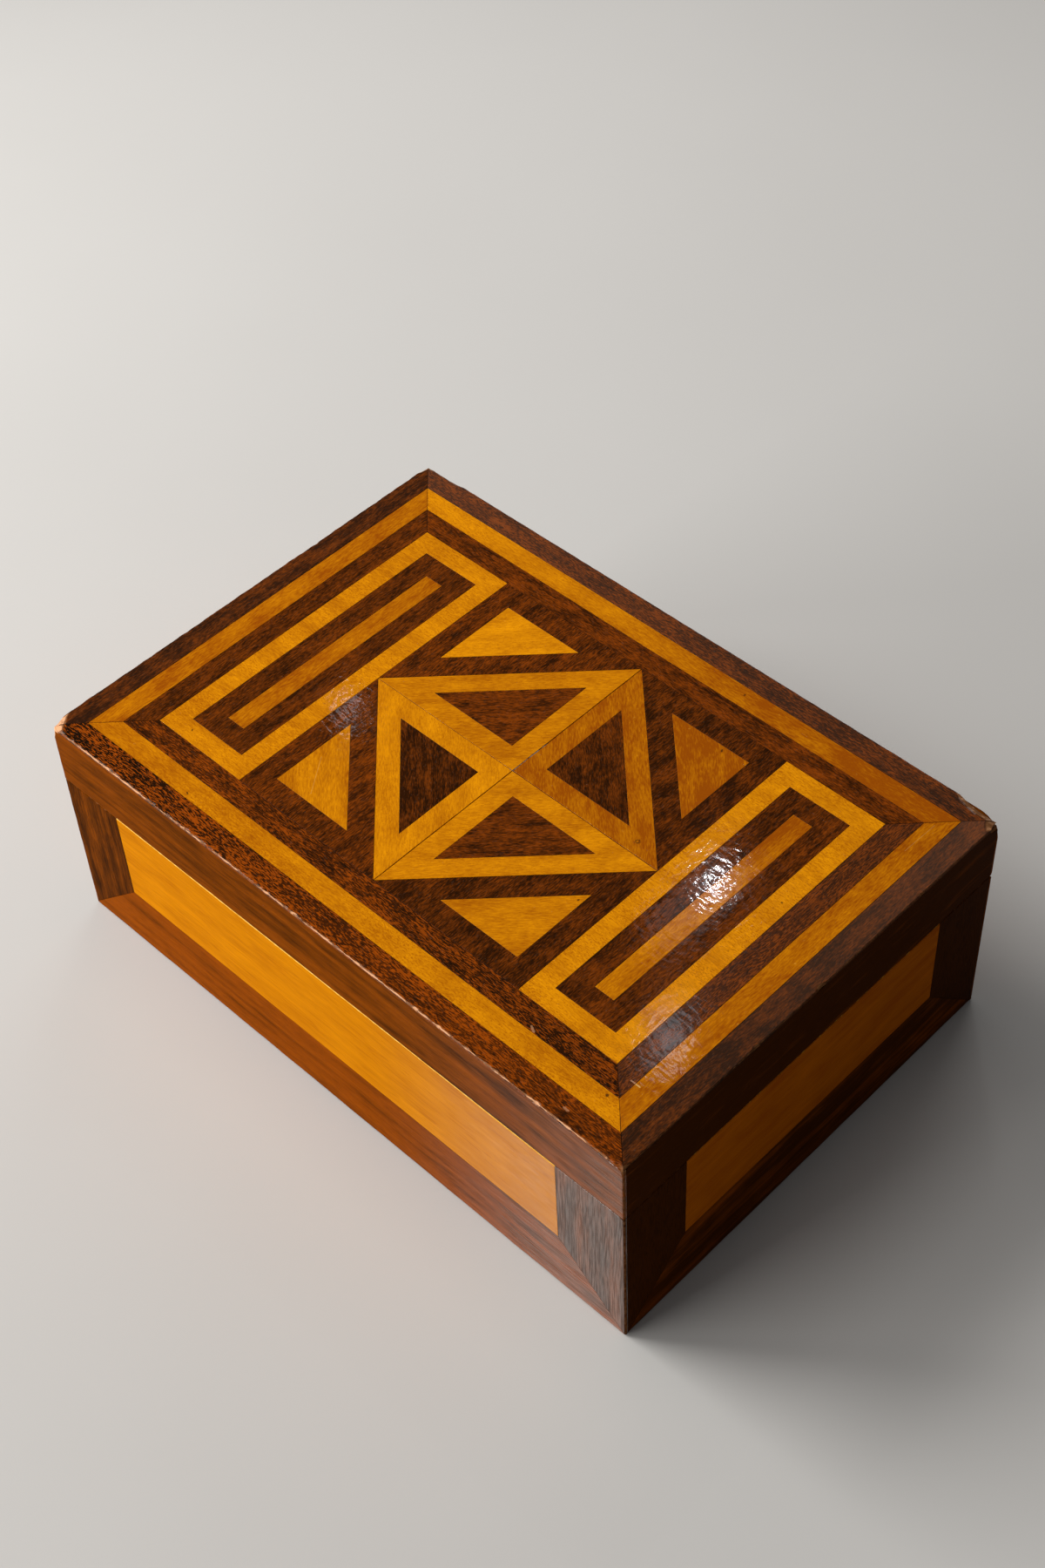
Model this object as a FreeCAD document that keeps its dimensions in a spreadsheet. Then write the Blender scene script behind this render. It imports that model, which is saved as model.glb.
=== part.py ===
import FreeCAD
import Part
import Sketcher

import math
import os
import re

# A veneered wooden box with an inlaid lid on two butt hinges. The origin is the middle of the
# underside, X runs along the front, the front faces -Y, the hinges are at +Y and Z is up.

# Driving dimensions: lengths in millimetres, angles in degrees.
SIZES = {
    # Carcass
    "box_length": 180.0,
    "box_width": 123.0,
    "body_height": 46.0,
    "lid_height": 18.4,
    "lid_gap": 0.1,
    "wall_thickness": 8.0,
    "veneer_thickness": 0.9,
    "bottom_thickness": 5.0,
    "lid_board_thickness": 6.0,
    "rebate_width": 4.0,
    "arris_radius": 0.5,
    "arris_limit_share": 0.6,
    # Veneers on the sides of the box
    "stile_width": 19.2,
    "bottom_rail_height": 19.0,
    # Inlay on the lid
    "outer_border_width": 6.2,
    "light_border_width": 5.8,
    "inner_border_width": 6.0,
    "key_frame_width": 5.5,
    "key_ground_width": 5.8,
    "key_bar_width": 5.4,
    "diamond_frame_width": 5.5,
    "corner_near_share": 0.863,
    "corner_far_share": 0.334,
    # Hinges
    "hinge_length": 28.0,
    "hinge_margin": 8.0,
    "leaf_thickness": 1.0,
    "leaf_lip": 0.8,
    "barrel_diameter": 4.5,
    "barrel_clearance": 0.3,
    "pin_diameter": 2.0,
    "pin_clearance": 0.05,
    "knuckle_gap": 0.2,
    "mortise_clearance": 0.1,
    "stop_bevel_angle": 51.0,
    # Hinge screws
    "screw_length": 8.0,
    "screw_tip_length": 2.5,
    "screw_diameter": 1.8,
    "screw_head_diameter": 3.4,
    "screw_head_height": 0.8,
    "screw_slot_width": 0.45,
    "screw_slot_depth": 0.4,
    "screw_clearance": 0.05,
    # How far cutting shapes run past the wood
    "overrun": 2.0,
}

# Sizes and places that follow from the driving dimensions.
DERIVED = {
    "half_length": "box_length / 2",
    "half_width": "box_width / 2",
    "core_half_length": "half_length - veneer_thickness",
    "core_half_width": "half_width - veneer_thickness",
    "inside_half_length": "core_half_length - wall_thickness",
    "inside_half_width": "core_half_width - wall_thickness",
    "board_half_length": "inside_half_length + rebate_width",
    "board_half_width": "inside_half_width + rebate_width",
    "lid_rim": "body_height + lid_gap",
    "total_height": "lid_rim + lid_height",
    "lid_core_top": "total_height - veneer_thickness",
    "lid_board_underside": "lid_core_top - lid_board_thickness",
    "arris": "min(arris_radius; veneer_thickness * arris_limit_share)",
    "panel_half_length": "half_length - stile_width",
    "panel_half_width": "half_width - stile_width",
    # Edges of the borders on the lid, from the outside in
    "light_half_length": "half_length - outer_border_width",
    "light_half_width": "half_width - outer_border_width",
    "inner_half_length": "light_half_length - light_border_width",
    "inner_half_width": "light_half_width - light_border_width",
    "picture_half_length": "inner_half_length - inner_border_width",
    "picture_half_width": "inner_half_width - inner_border_width",
    # A key at each end of the picture
    "key_half_width": "key_bar_width / 2 + key_ground_width + key_frame_width",
    "key_middle": "picture_half_length - key_half_width",
    "key_ground_half_width": "key_half_width - key_frame_width",
    "key_ground_half_length": "picture_half_width - key_frame_width",
    "key_bar_half_width": "key_bar_width / 2",
    "key_bar_half_length": "key_ground_half_length - key_ground_width",
    # The diamond fills the field between the keys, corner to corner
    "field_half_length": "picture_half_length - 2 * key_half_width",
    "steepness": "sqrt(1 / field_half_length^2 + 1 / picture_half_width^2)",
    "heart_share": "1 - diamond_frame_width * steepness",
    "heart_tip_x": "field_half_length * (heart_share - diamond_frame_width / picture_half_width)",
    "heart_tip_y": "picture_half_width * (heart_share - diamond_frame_width / field_half_length)",
    # A light triangle in each corner of the field, its long side along the diamond
    "corner_near_x": "field_half_length * corner_near_share",
    "corner_near_y": "picture_half_width * corner_near_share",
    "corner_far_x": "field_half_length * corner_far_share",
    "corner_far_y": "picture_half_width * corner_far_share",
    # Hinges: the pin is in line with the back of the carcass, half way across the lid gap
    "pin_y": "core_half_width",
    "pin_z": "body_height + lid_gap / 2",
    "hinge_middle": "panel_half_length - hinge_margin - hinge_length / 2",
    "bore_diameter": "pin_diameter + 2 * pin_clearance",
    "notch_radius": "barrel_diameter / 2 + barrel_clearance",
    "notch_depth": "notch_radius - lid_gap / 2",
    "leaf_front": "pin_y - wall_thickness + leaf_lip",
    "leaf_relief": "pin_y - notch_radius",
    "screw_y": "(leaf_front + leaf_relief) / 2",
    "pilot_diameter": "screw_diameter + 2 * screw_clearance",
    "pilot_depth": "screw_length + screw_clearance",
}

KNUCKLES = 5
SCREWS_PER_LEAF = 2

# Each side: whether it runs along X, and the sign of its place across the box.
SIDES = {"front": (True, "-"), "back": (True, ""), "left": (False, "-"), "right": (False, "")}
ENDS = {"left": "-", "right": ""}
QUARTERS = [(sign_x, sign_y) for sign_x in ("", "-") for sign_y in ("", "-")]

# Each half of the box: its rim, and which way its wood lies from there.
HALVES = {"box": ("body_height", "-"), "lid": ("lid_rim", "+")}

doc = FreeCAD.newDocument("marquetry_box")
sheet = doc.addObject("Spreadsheet::Sheet", "Sizes")
sheet_rows = [(name, str(size)) for name, size in SIZES.items()]
sheet_rows += [(name, "=" + formula) for name, formula in DERIVED.items()]
for row, (name, content) in enumerate(sheet_rows, start=1):
    sheet.set(f"A{row}", name)
    sheet.set(f"B{row}", content)
    sheet.setAlias(f"B{row}", name)
doc.recompute()

named = {name for name, content in sheet_rows}
nodes = []


def cell(formula):
    """Write a formula of named sizes as an expression on the sheet's cells."""
    return re.sub(r"[a-z]\w*", lambda word: f"Sizes.{word[0]}" if word[0] in named else word[0], formula)


def value(formula):
    """Give the present value of a formula of named sizes."""
    return float(sheet.evalExpression(cell(formula)))


def new_body(label):
    """Start one piece of the box."""
    body = doc.addObject("PartDesign::Body", label)
    body.Label = label
    return body


def new_node(label):
    """Start one piece that has a node of its own."""
    body = new_body(label)
    nodes.append(body)
    return body


def new_sketch(body, plane, offset):
    """Put a sketch on one of the body's planes, moved along the plane's normal."""
    sketch = body.newObject("Sketcher::SketchObject", "outline")
    origin_plane = next(item for item in body.Origin.OriginFeatures if item.Role == plane + "_Plane")
    sketch.AttachmentSupport = [(origin_plane, "")]
    sketch.MapMode = "FlatFace"
    sketch.setExpression("AttachmentOffset.Base.z", cell(offset))
    return sketch


def fix_point(sketch, geometry, point, place):
    """Tie a point of a sketch to formulas for its two distances from the sketch's origin."""
    for kind, formula in zip(("DistanceX", "DistanceY"), place):
        constraint = Sketcher.Constraint(kind, -1, 1, geometry, point, value(formula))
        index = sketch.addConstraint(constraint)
        sketch.setExpression(f"Constraints[{index}]", cell(formula))


def draw_polygon(sketch, corners):
    """Draw a closed polygon whose corners are pairs of formulas."""
    points = [FreeCAD.Vector(value(across), value(up), 0) for across, up in corners]
    lines = []
    for start, end in zip(points, points[1:] + points[:1]):
        lines.append(sketch.addGeometry(Part.LineSegment(start, end), False))
    for line, following in zip(lines, lines[1:] + lines[:1]):
        sketch.addConstraint(Sketcher.Constraint("Coincident", line, 2, following, 1))
    for line, corner in zip(lines, corners):
        fix_point(sketch, line, 1, corner)


def draw_circle(sketch, centre, diameter):
    """Draw a circle of a given diameter, both written as formulas."""
    middle = FreeCAD.Vector(value(centre[0]), value(centre[1]), 0)
    upright = FreeCAD.Vector(0, 0, 1)
    circle = sketch.addGeometry(Part.Circle(middle, upright, value(diameter) / 2), False)
    fix_point(sketch, circle, 3, centre)
    index = sketch.addConstraint(Sketcher.Constraint("Diameter", circle, value(diameter)))
    sketch.setExpression(f"Constraints[{index}]", cell(diameter))


def pad(body, plane, start, length, outlines=(), circles=()):
    """Add a prism that reaches from start, by length, along the axis square to the plane."""
    # The XZ plane faces -Y, so its sketch stands at the far end.
    offset = f"-(({start}) + ({length}))" if plane == "XZ" else start
    sketch = new_sketch(body, plane, offset)
    for corners in outlines:
        draw_polygon(sketch, corners)
    for centre, diameter in circles:
        draw_circle(sketch, centre, diameter)
    feature = body.newObject("PartDesign::Pad", "pad")
    feature.Profile = sketch
    feature.setExpression("Length", cell(length))
    body.Tip = feature


def cut_away(body, feature):
    """Make a cutting feature the last of its body, and make sure that it takes wood or metal away."""
    before = body.Shape.Volume
    body.Tip = feature
    doc.recompute()
    if not body.Shape.Volume < before:
        raise RuntimeError(f"{body.Label}: {feature.Name} cuts nothing")


def pocket(body, plane, start, length, outlines=(), circles=()):
    """Cut a prism that reaches from start, by length, along the axis square to the plane."""
    doc.recompute()
    # A cut runs against its plane's normal, so its sketch stands at the far end, except on XZ.
    offset = f"-({start})" if plane == "XZ" else f"({start}) + ({length})"
    sketch = new_sketch(body, plane, offset)
    for corners in outlines:
        draw_polygon(sketch, corners)
    for centre, diameter in circles:
        draw_circle(sketch, centre, diameter)
    feature = body.newObject("PartDesign::Pocket", "pocket")
    feature.Profile = sketch
    feature.setExpression("Length", cell(length))
    cut_away(body, feature)


def turn(body, kind, centre, profile):
    """Turn a profile about an upright line: a Revolution adds, and a Groove cuts."""
    doc.recompute()
    across, along = centre
    sketch = new_sketch(body, "XZ", f"-({along})")
    sketch.setExpression("AttachmentOffset.Base.x", cell(across))
    draw_polygon(sketch, profile)
    feature = body.newObject(f"PartDesign::{kind}", "turned")
    feature.Profile = sketch
    feature.ReferenceAxis = (sketch, ["V_Axis"])
    if kind == "Groove":
        cut_away(body, feature)
    else:
        body.Tip = feature


def round_arris(body, **places):
    """Round the edges of a body that lie at the given places, written as formulas of x, y or z."""
    doc.recompute()
    base = body.Tip
    fixed = {axis: value(formula) for axis, formula in places.items()}

    def lies_there(edge):
        return all(math.isclose(getattr(vertex.Point, axis), place, abs_tol=Part.Precision.confusion())
                   for vertex in edge.Vertexes for axis, place in fixed.items())

    edges = [f"Edge{index}" for index, edge in enumerate(base.Shape.Edges, start=1) if lies_there(edge)]
    fillet = body.newObject("PartDesign::Fillet", "arris")
    fillet.Base = (base, edges)
    fillet.setExpression("Radius", cell("arris"))
    body.Tip = fillet


def rectangle(left, right, near, far):
    """Corners of a rectangle from its four edges."""
    return [(left, near), (right, near), (right, far), (left, far)]


def centred(half_length, half_width):
    """Corners of a rectangle about the origin."""
    return rectangle(f"-{half_length}", half_length, f"-{half_width}", half_width)


def mitred_strip(side, outer, inner):
    """Corners of one side of a mitred frame between two rectangles, each a pair of half sizes."""
    along_x, sign = SIDES[side]
    (outer_x, outer_y), (inner_x, inner_y) = outer, inner
    if along_x:
        return [(f"-{outer_x}", sign + outer_y), (outer_x, sign + outer_y),
                (inner_x, sign + inner_y), (f"-{inner_x}", sign + inner_y)]
    return [(sign + outer_x, f"-{outer_y}"), (sign + outer_x, outer_y),
            (sign + inner_x, inner_y), (sign + inner_x, f"-{inner_y}")]


def from_rim(half, depth):
    """Start and length, along Z, of a cut that goes in from a half's rim."""
    rim, inward = HALVES[half]
    start = f"{rim} - ({depth})" if inward == "-" else f"{rim} - overrun"
    return start, f"{depth} + overrun"


# Carcass of the box and of the lid

CORE = ("core_half_length", "core_half_width")
INSIDE = ("inside_half_length", "inside_half_width")


def carcass_side(label, side, low, height, rebate_low, rebate_height):
    """One mitred side of the box or lid, rebated along one edge for its board."""
    wall = new_node(label)
    pad(wall, "XY", low, height, [mitred_strip(side, CORE, INSIDE)])
    pocket(wall, "XY", rebate_low, rebate_height, [centred("board_half_length", "board_half_width")])
    return wall


def board(label, low, thickness):
    """The bottom of the box or the board of the lid, which fills the rebates."""
    pad(new_node(label), "XY", low, thickness, [centred("board_half_length", "board_half_width")])


# Hinges

def hinge_ends(end):
    """The two ends of a hinge, along X."""
    middle = ENDS[end] + "hinge_middle"
    return f"{middle} - hinge_length / 2", f"{middle} + hinge_length / 2"


def knuckle_ends(end, index):
    """The two ends of one knuckle, along X."""
    start = hinge_ends(end)[0]
    return (f"{start} + hinge_length * {index} / {KNUCKLES} + knuckle_gap / 2",
            f"{start} + hinge_length * {index + 1} / {KNUCKLES} - knuckle_gap / 2")


def screw_places(end):
    """The middles of a leaf's screws, seen from above."""
    start = hinge_ends(end)[0]
    shares = [(index + 1 / 2) / SCREWS_PER_LEAF for index in range(SCREWS_PER_LEAF)]
    return [(f"{start} + hinge_length * {share}", "screw_y") for share in shares]


def cut_barrel_notches(body, half):
    """Cut room for the two hinge barrels at the back of a rim."""
    outlines = []
    for end in ENDS:
        first, last = hinge_ends(end)
        outlines.append(rectangle(f"{first} - mortise_clearance", f"{last} + mortise_clearance",
                                  "leaf_relief", "half_width + overrun"))
    pocket(body, "XY", *from_rim(half, "notch_depth"), outlines)


def cut_leaf_mortises(body, half):
    """Let the two hinge leaves and their screws into a rim."""
    outlines = []
    pilots = []
    for end in ENDS:
        first, last = hinge_ends(end)
        outlines.append(rectangle(f"{first} - mortise_clearance", f"{last} + mortise_clearance",
                                  "leaf_front - mortise_clearance", "pin_y"))
        pilots += [(place, "pilot_diameter") for place in screw_places(end)]
    pocket(body, "XY", *from_rim(half, "leaf_thickness"), outlines)
    pocket(body, "XY", *from_rim(half, "pilot_depth"), circles=pilots)


def bevel_back_edge(body, half):
    """Bevel the back edge of a rim, so that the open lid comes to rest on the box."""
    rim, inward = HALVES[half]
    outward = "+" if inward == "-" else "-"
    reach = "(veneer_thickness + overrun)"
    profile = [("pin_y", rim), (f"pin_y + {reach}", f"{rim} {inward} {reach} * tan(stop_bevel_angle)"),
               (f"pin_y + {reach}", f"{rim} {outward} overrun"), ("pin_y", f"{rim} {outward} overrun")]
    pocket(body, "YZ", "-half_length - overrun", "box_length + 2 * overrun", [profile])


def hinge_leaf(label, end, half, own_knuckles):
    """One leaf: a plate with a tongue behind each of its knuckles, bored for the pin and the screws."""
    leaf = new_node(label)
    rim, inward = HALVES[half]
    low = f"{rim} - leaf_thickness" if inward == "-" else rim
    first = knuckle_ends(end, 0)[0]
    last = knuckle_ends(end, KNUCKLES - 1)[1]
    corners = [(first, "leaf_front"), (last, "leaf_front")]
    if KNUCKLES - 1 not in own_knuckles:
        corners.append((last, "leaf_relief"))
    for index in reversed(own_knuckles):
        start, stop = knuckle_ends(end, index)
        tongue = [(stop, "leaf_relief"), (stop, "pin_y"), (start, "pin_y"), (start, "leaf_relief")]
        if index == KNUCKLES - 1:
            tongue = tongue[1:]
        if index == 0:
            tongue = tongue[:-1]
        corners += tongue
    if 0 not in own_knuckles:
        corners.append((first, "leaf_relief"))
    pad(leaf, "XY", low, "leaf_thickness", [corners])
    for index in own_knuckles:
        start, stop = knuckle_ends(end, index)
        pad(leaf, "YZ", start, f"({stop}) - ({start})", circles=[(("pin_y", "pin_z"), "barrel_diameter")])
    bore = [(("pin_y", "pin_z"), "bore_diameter")]
    pocket(leaf, "YZ", "-half_length", "box_length", circles=bore)
    sink = "screw_head_diameter / 2 + screw_clearance"
    profile = [("0", rim), (sink, rim), ("pilot_diameter / 2", f"{rim} {inward} screw_head_height"),
               ("pilot_diameter / 2", f"{rim} {inward} leaf_thickness {inward} overrun"),
               ("0", f"{rim} {inward} leaf_thickness {inward} overrun")]
    for place in screw_places(end):
        turn(leaf, "Groove", place, profile)


def hinge_pin(label, end):
    """The pin through the knuckles of one hinge."""
    first = knuckle_ends(end, 0)[0]
    last = knuckle_ends(end, KNUCKLES - 1)[1]
    circle = [(("pin_y", "pin_z"), "pin_diameter")]
    pad(new_node(label), "YZ", first, f"({last}) - ({first})", circles=circle)


def hinge_screws(label, half):
    """All slotted countersunk screws of one half, as a group of separate solids."""
    rim, inward = HALVES[half]
    tip = f"{rim} {inward} screw_length"
    back = "+" if inward == "-" else "-"
    profile = [("0", rim), ("screw_head_diameter / 2", rim),
               ("screw_diameter / 2", f"{rim} {inward} screw_head_height"),
               ("screw_diameter / 2", f"{tip} {back} screw_tip_length"), ("0", tip)]
    places = [place for end in ENDS for place in screw_places(end)]
    screws = []
    for number, place in enumerate(places, start=1):
        screw = new_body(f"{label}_{number}")
        turn(screw, "Revolution", place, profile)
        across, along = place
        slot = rectangle(f"{across} - screw_head_diameter", f"{across} + screw_head_diameter",
                         f"{along} - screw_slot_width / 2", f"{along} + screw_slot_width / 2")
        pocket(screw, "XY", *from_rim(half, "screw_slot_depth"), [slot])
        screws.append(screw)
    group_node(label, screws)


def group_node(label, bodies):
    """Several like pieces in one node."""
    group = doc.addObject("Part::Compound", label)
    group.Label = label
    group.Links = bodies
    nodes.append(group)


# Veneers on the sides

def face_of(side):
    """Plane, near surface, half reach and half width of the panel of one veneered side."""
    along_x, sign = SIDES[side]
    if along_x:
        start = "-half_width" if sign else "core_half_width"
        return "XZ", start, "half_length", "panel_half_length"
    start = "-half_length" if sign else "core_half_length"
    return "YZ", start, "core_half_width", "panel_half_width"


def side_veneer(label, side, corners):
    """One piece of veneer on a side, drawn as it is seen on that side."""
    plane, start, _, _ = face_of(side)
    veneer = new_node(label)
    pad(veneer, plane, start, "veneer_thickness", [corners])
    return veneer


def round_upright(veneer, side, sign):
    """Round the upright corner of the box where a front or back veneer laps over the end veneer."""
    round_arris(veneer, x=sign + "half_length", y=SIDES[side][1] + "half_width")


def box_side_veneers(side):
    """The light panel, the two dark stiles and the dark bottom rail of one side of the box."""
    along_x, _ = SIDES[side]
    reach, panel_half = face_of(side)[2:]
    top, rail = "body_height", "bottom_rail_height"
    panel = side_veneer(f"{side}_panel", side, rectangle(f"-{panel_half}", panel_half, rail, top))
    side_veneer(f"{side}_bottom_rail", side,
                [(f"-{reach}", "0"), (reach, "0"), (panel_half, rail), (f"-{panel_half}", rail)])
    if side == "back":
        bevel_back_edge(panel, "box")
        cut_barrel_notches(panel, "box")
    for hand, sign in zip(("left", "right") if along_x else ("front", "back"), ("-", "")):
        stile = side_veneer(f"{side}_{hand}_stile", side,
                            [(sign + reach, "0"), (sign + reach, top), (sign + panel_half, top),
                             (sign + panel_half, rail)])
        if along_x:
            round_upright(stile, side, sign)
        if side == "back":
            bevel_back_edge(stile, "box")


def lid_edging(side):
    """The dark veneer on one side of the lid."""
    along_x, _ = SIDES[side]
    reach = face_of(side)[2]
    edging = side_veneer(f"lid_{side}_edging", side, rectangle(f"-{reach}", reach, "lid_rim", "lid_core_top"))
    if along_x:
        round_upright(edging, side, "-")
        round_upright(edging, side, "")
    if side == "back":
        bevel_back_edge(edging, "lid")
        cut_barrel_notches(edging, "lid")


# Inlay on the lid

def inlay(body, *outlines):
    """A piece of the lid's inlay: its outline, and the outline of any window in it."""
    pad(body, "XY", "lid_core_top", "veneer_thickness", outlines)


def border(name, outer, inner):
    """Four mitred strips round the lid."""
    for side in SIDES:
        inlay(new_node(f"{name}_{side}"), mitred_strip(side, outer, inner))


def round_lid_edge():
    """Round the top edge of the outer border, all round the lid."""
    for side, (along_x, sign) in SIDES.items():
        strip = next(node for node in nodes if node.Label == f"outer_border_{side}")
        place = {"y": sign + "half_width"} if along_x else {"x": sign + "half_length"}
        round_arris(strip, z="total_height", **place)


def key(end):
    """The frame, ground and bar of the pattern at one end of the lid."""
    middle = ENDS[end] + "key_middle"

    def ring(half_width, half_length):
        return rectangle(f"{middle} - {half_width}", f"{middle} + {half_width}",
                         f"-{half_length}", half_length)

    frame = ring("key_half_width", "picture_half_width")
    ground = ring("key_ground_half_width", "key_ground_half_length")
    bar = ring("key_bar_half_width", "key_bar_half_length")
    inlay(new_node(f"{end}_key_frame"), frame, ground)
    inlay(new_node(f"{end}_key_ground"), ground, bar)
    inlay(new_node(f"{end}_key_bar"), bar)


def quarters(label, *outlines):
    """Four like pieces about the middle of the lid, drawn in the quarter where x and y are positive."""
    pieces = []
    for number, (sign_x, sign_y) in enumerate(QUARTERS, start=1):
        piece = new_body(f"{label}_{number}")
        placed = []
        for outline in outlines:
            placed.append([(f"{sign_x}({across})", f"{sign_y}({along})") for across, along in outline])
        inlay(piece, *placed)
        pieces.append(piece)
    group_node(label, pieces)


def diamond():
    """The quartered diamond in the middle of the lid, and the four corners round it."""
    tip_x, tip_y = ("field_half_length", "0"), ("0", "picture_half_width")
    heart = [("diamond_frame_width", "diamond_frame_width"), ("heart_tip_x", "diamond_frame_width"),
             ("diamond_frame_width", "heart_tip_y")]
    triangle = [("corner_near_x", "corner_near_y"), ("corner_far_x", "corner_near_y"),
                ("corner_near_x", "corner_far_y")]
    quarters("diamond_frames", [("0", "0"), tip_x, tip_y], heart)
    quarters("diamond_hearts", heart)
    quarters("corner_grounds", [tip_x, ("field_half_length", "picture_half_width"), tip_y], triangle)
    quarters("corner_triangles", triangle)


# The box

for side_name in SIDES:
    wall_node = carcass_side(f"{side_name}_wall", side_name, "0", "body_height",
                             "-overrun", "bottom_thickness + overrun")
    if side_name == "back":
        cut_leaf_mortises(wall_node, "box")
        cut_barrel_notches(wall_node, "box")
board("bottom_board", "0", "bottom_thickness")
for side_name in SIDES:
    box_side_veneers(side_name)
for end_name in ENDS:
    hinge_leaf(f"{end_name}_hinge_box_leaf", end_name, "box", range(0, KNUCKLES, 2))
    hinge_pin(f"{end_name}_hinge_pin", end_name)
hinge_screws("box_hinge_screws", "box")

# The lid

for side_name in SIDES:
    rail_node = carcass_side(f"lid_{side_name}_rail", side_name, "lid_rim", "lid_core_top - lid_rim",
                             "lid_board_underside", "lid_board_thickness + overrun")
    if side_name == "back":
        cut_leaf_mortises(rail_node, "lid")
        cut_barrel_notches(rail_node, "lid")
board("lid_board", "lid_board_underside", "lid_board_thickness")
for side_name in SIDES:
    lid_edging(side_name)
for end_name in ENDS:
    hinge_leaf(f"{end_name}_hinge_lid_leaf", end_name, "lid", range(1, KNUCKLES, 2))
hinge_screws("lid_hinge_screws", "lid")
border("outer_border", ("half_length", "half_width"), ("light_half_length", "light_half_width"))
border("light_border", ("light_half_length", "light_half_width"), ("inner_half_length", "inner_half_width"))
border("inner_border", ("inner_half_length", "inner_half_width"),
       ("picture_half_length", "picture_half_width"))
round_lid_edge()
for end_name in ENDS:
    key(end_name)
diamond()

# Everything has to have come out whole before anything is written.
doc.recompute()
for item in doc.Objects:
    if "Invalid" in item.State or "Error" in item.State:
        raise RuntimeError(f"{item.Label} failed: {item.State}")
for node in nodes:
    if node.Shape.isNull() or not node.Shape.isValid() or not node.Shape.Solids:
        raise RuntimeError(f"{node.Label} has no valid shape")
os.makedirs("parts", exist_ok=True)
for node in nodes:
    node.Shape.exportStep(os.path.join("parts", node.Label + ".step"))
print(len(nodes), "nodes written")
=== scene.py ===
"""Looks of a veneered box with an inlaid, hinged lid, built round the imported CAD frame.

Every veneer is its own closed sheet of wood, drawn from the outline of its CAD node, with glue lines, worn
edges and a grain direction of its own. Lengths in this file are millimetres unless a name says otherwise,
and become metres where a mesh is made.
"""

import logging
import math
import random
import zlib
from dataclasses import dataclass, field, replace
from enum import Enum
from typing import Any, Callable, Iterable, Optional, Sequence, Union

import bmesh
import bpy
from mathutils import Matrix, Quaternion, Vector, noise


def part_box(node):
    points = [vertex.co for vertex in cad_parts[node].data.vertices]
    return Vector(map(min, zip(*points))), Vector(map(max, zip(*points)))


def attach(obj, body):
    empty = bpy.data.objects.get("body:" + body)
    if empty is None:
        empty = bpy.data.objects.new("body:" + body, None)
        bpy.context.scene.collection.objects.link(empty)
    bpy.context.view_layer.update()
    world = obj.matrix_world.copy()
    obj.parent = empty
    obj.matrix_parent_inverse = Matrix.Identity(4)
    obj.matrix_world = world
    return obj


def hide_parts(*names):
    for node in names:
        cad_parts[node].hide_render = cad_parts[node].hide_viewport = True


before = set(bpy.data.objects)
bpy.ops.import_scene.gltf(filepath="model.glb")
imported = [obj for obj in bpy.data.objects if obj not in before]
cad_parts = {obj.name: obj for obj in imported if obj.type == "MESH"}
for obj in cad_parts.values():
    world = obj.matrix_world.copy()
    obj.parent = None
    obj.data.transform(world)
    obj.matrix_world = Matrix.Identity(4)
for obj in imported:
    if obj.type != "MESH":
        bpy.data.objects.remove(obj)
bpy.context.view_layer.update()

LOG = logging.getLogger("marquetry_box")
MM = 0.001
TO_MM = 1 / MM
SAME_PLACE = 1e-6  # metres between points that are merged
NEAR = 0.02  # millimetres between places that count as the same
STRAIGHT = 1e-3  # sine of a turn that counts as none
SLOPE_LENGTH = 100.0  # millimetres over which a cut's slopes are given
WOOD_REACH = 2.0  # metres of wood on each side that the pieces are cut from
NOISE_MIDDLE = 0.5
FLAT_LIMIT = math.radians(1.0)  # angle between triangles of one flat face
SHARP_LIMIT = math.radians(40.0)  # angle above which an edge of a CAD node is broken
SHEET_CREASE = math.radians(38.0)  # angle above which an edge of a veneer sheet stays sharp
FLAT_CREASE = math.radians(30.0)  # the same beside a flat face of a softened piece
ROUND_CREASE = math.radians(60.0)  # the same inside its broken edges

Colour = tuple[float, float, float]
Direction = tuple[float, float, float]
Point = tuple[float, float]
Loop = list[Point]
Socket = bpy.types.NodeSocket
Feed = Union[Socket, bpy.types.Material, float, int, Sequence[float]]
Feeds = dict[Union[str, int], Feed]


class Body(Enum):
    """The two bodies of the frame."""

    BOX = "box"
    LID = "lid"


class Slot(Enum):
    """The record's material slots."""

    DARK = "dark_veneer"
    LIGHT = "light_veneer"
    CARCASS = "carcass"
    BRASS = "hinge_brass"
    STEEL = "hinge_pin_steel"


class Face(Enum):
    """The directions that a veneered face looks in, each with its axes: across, up and outward."""

    TOP = ((1, 0, 0), (0, 1, 0), (0, 0, 1))
    FRONT = ((1, 0, 0), (0, 0, 1), (0, -1, 0))
    BACK = ((-1, 0, 0), (0, 0, 1), (0, 1, 0))
    LEFT = ((0, -1, 0), (0, 0, 1), (-1, 0, 0))
    RIGHT = ((0, 1, 0), (0, 0, 1), (1, 0, 0))

    def __init__(self, across: Direction, up: Direction, outward: Direction) -> None:
        """Keep the axes as vectors, as they are seen from outside."""
        self.across, self.up, self.outward = Vector(across), Vector(up), Vector(outward)


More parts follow.
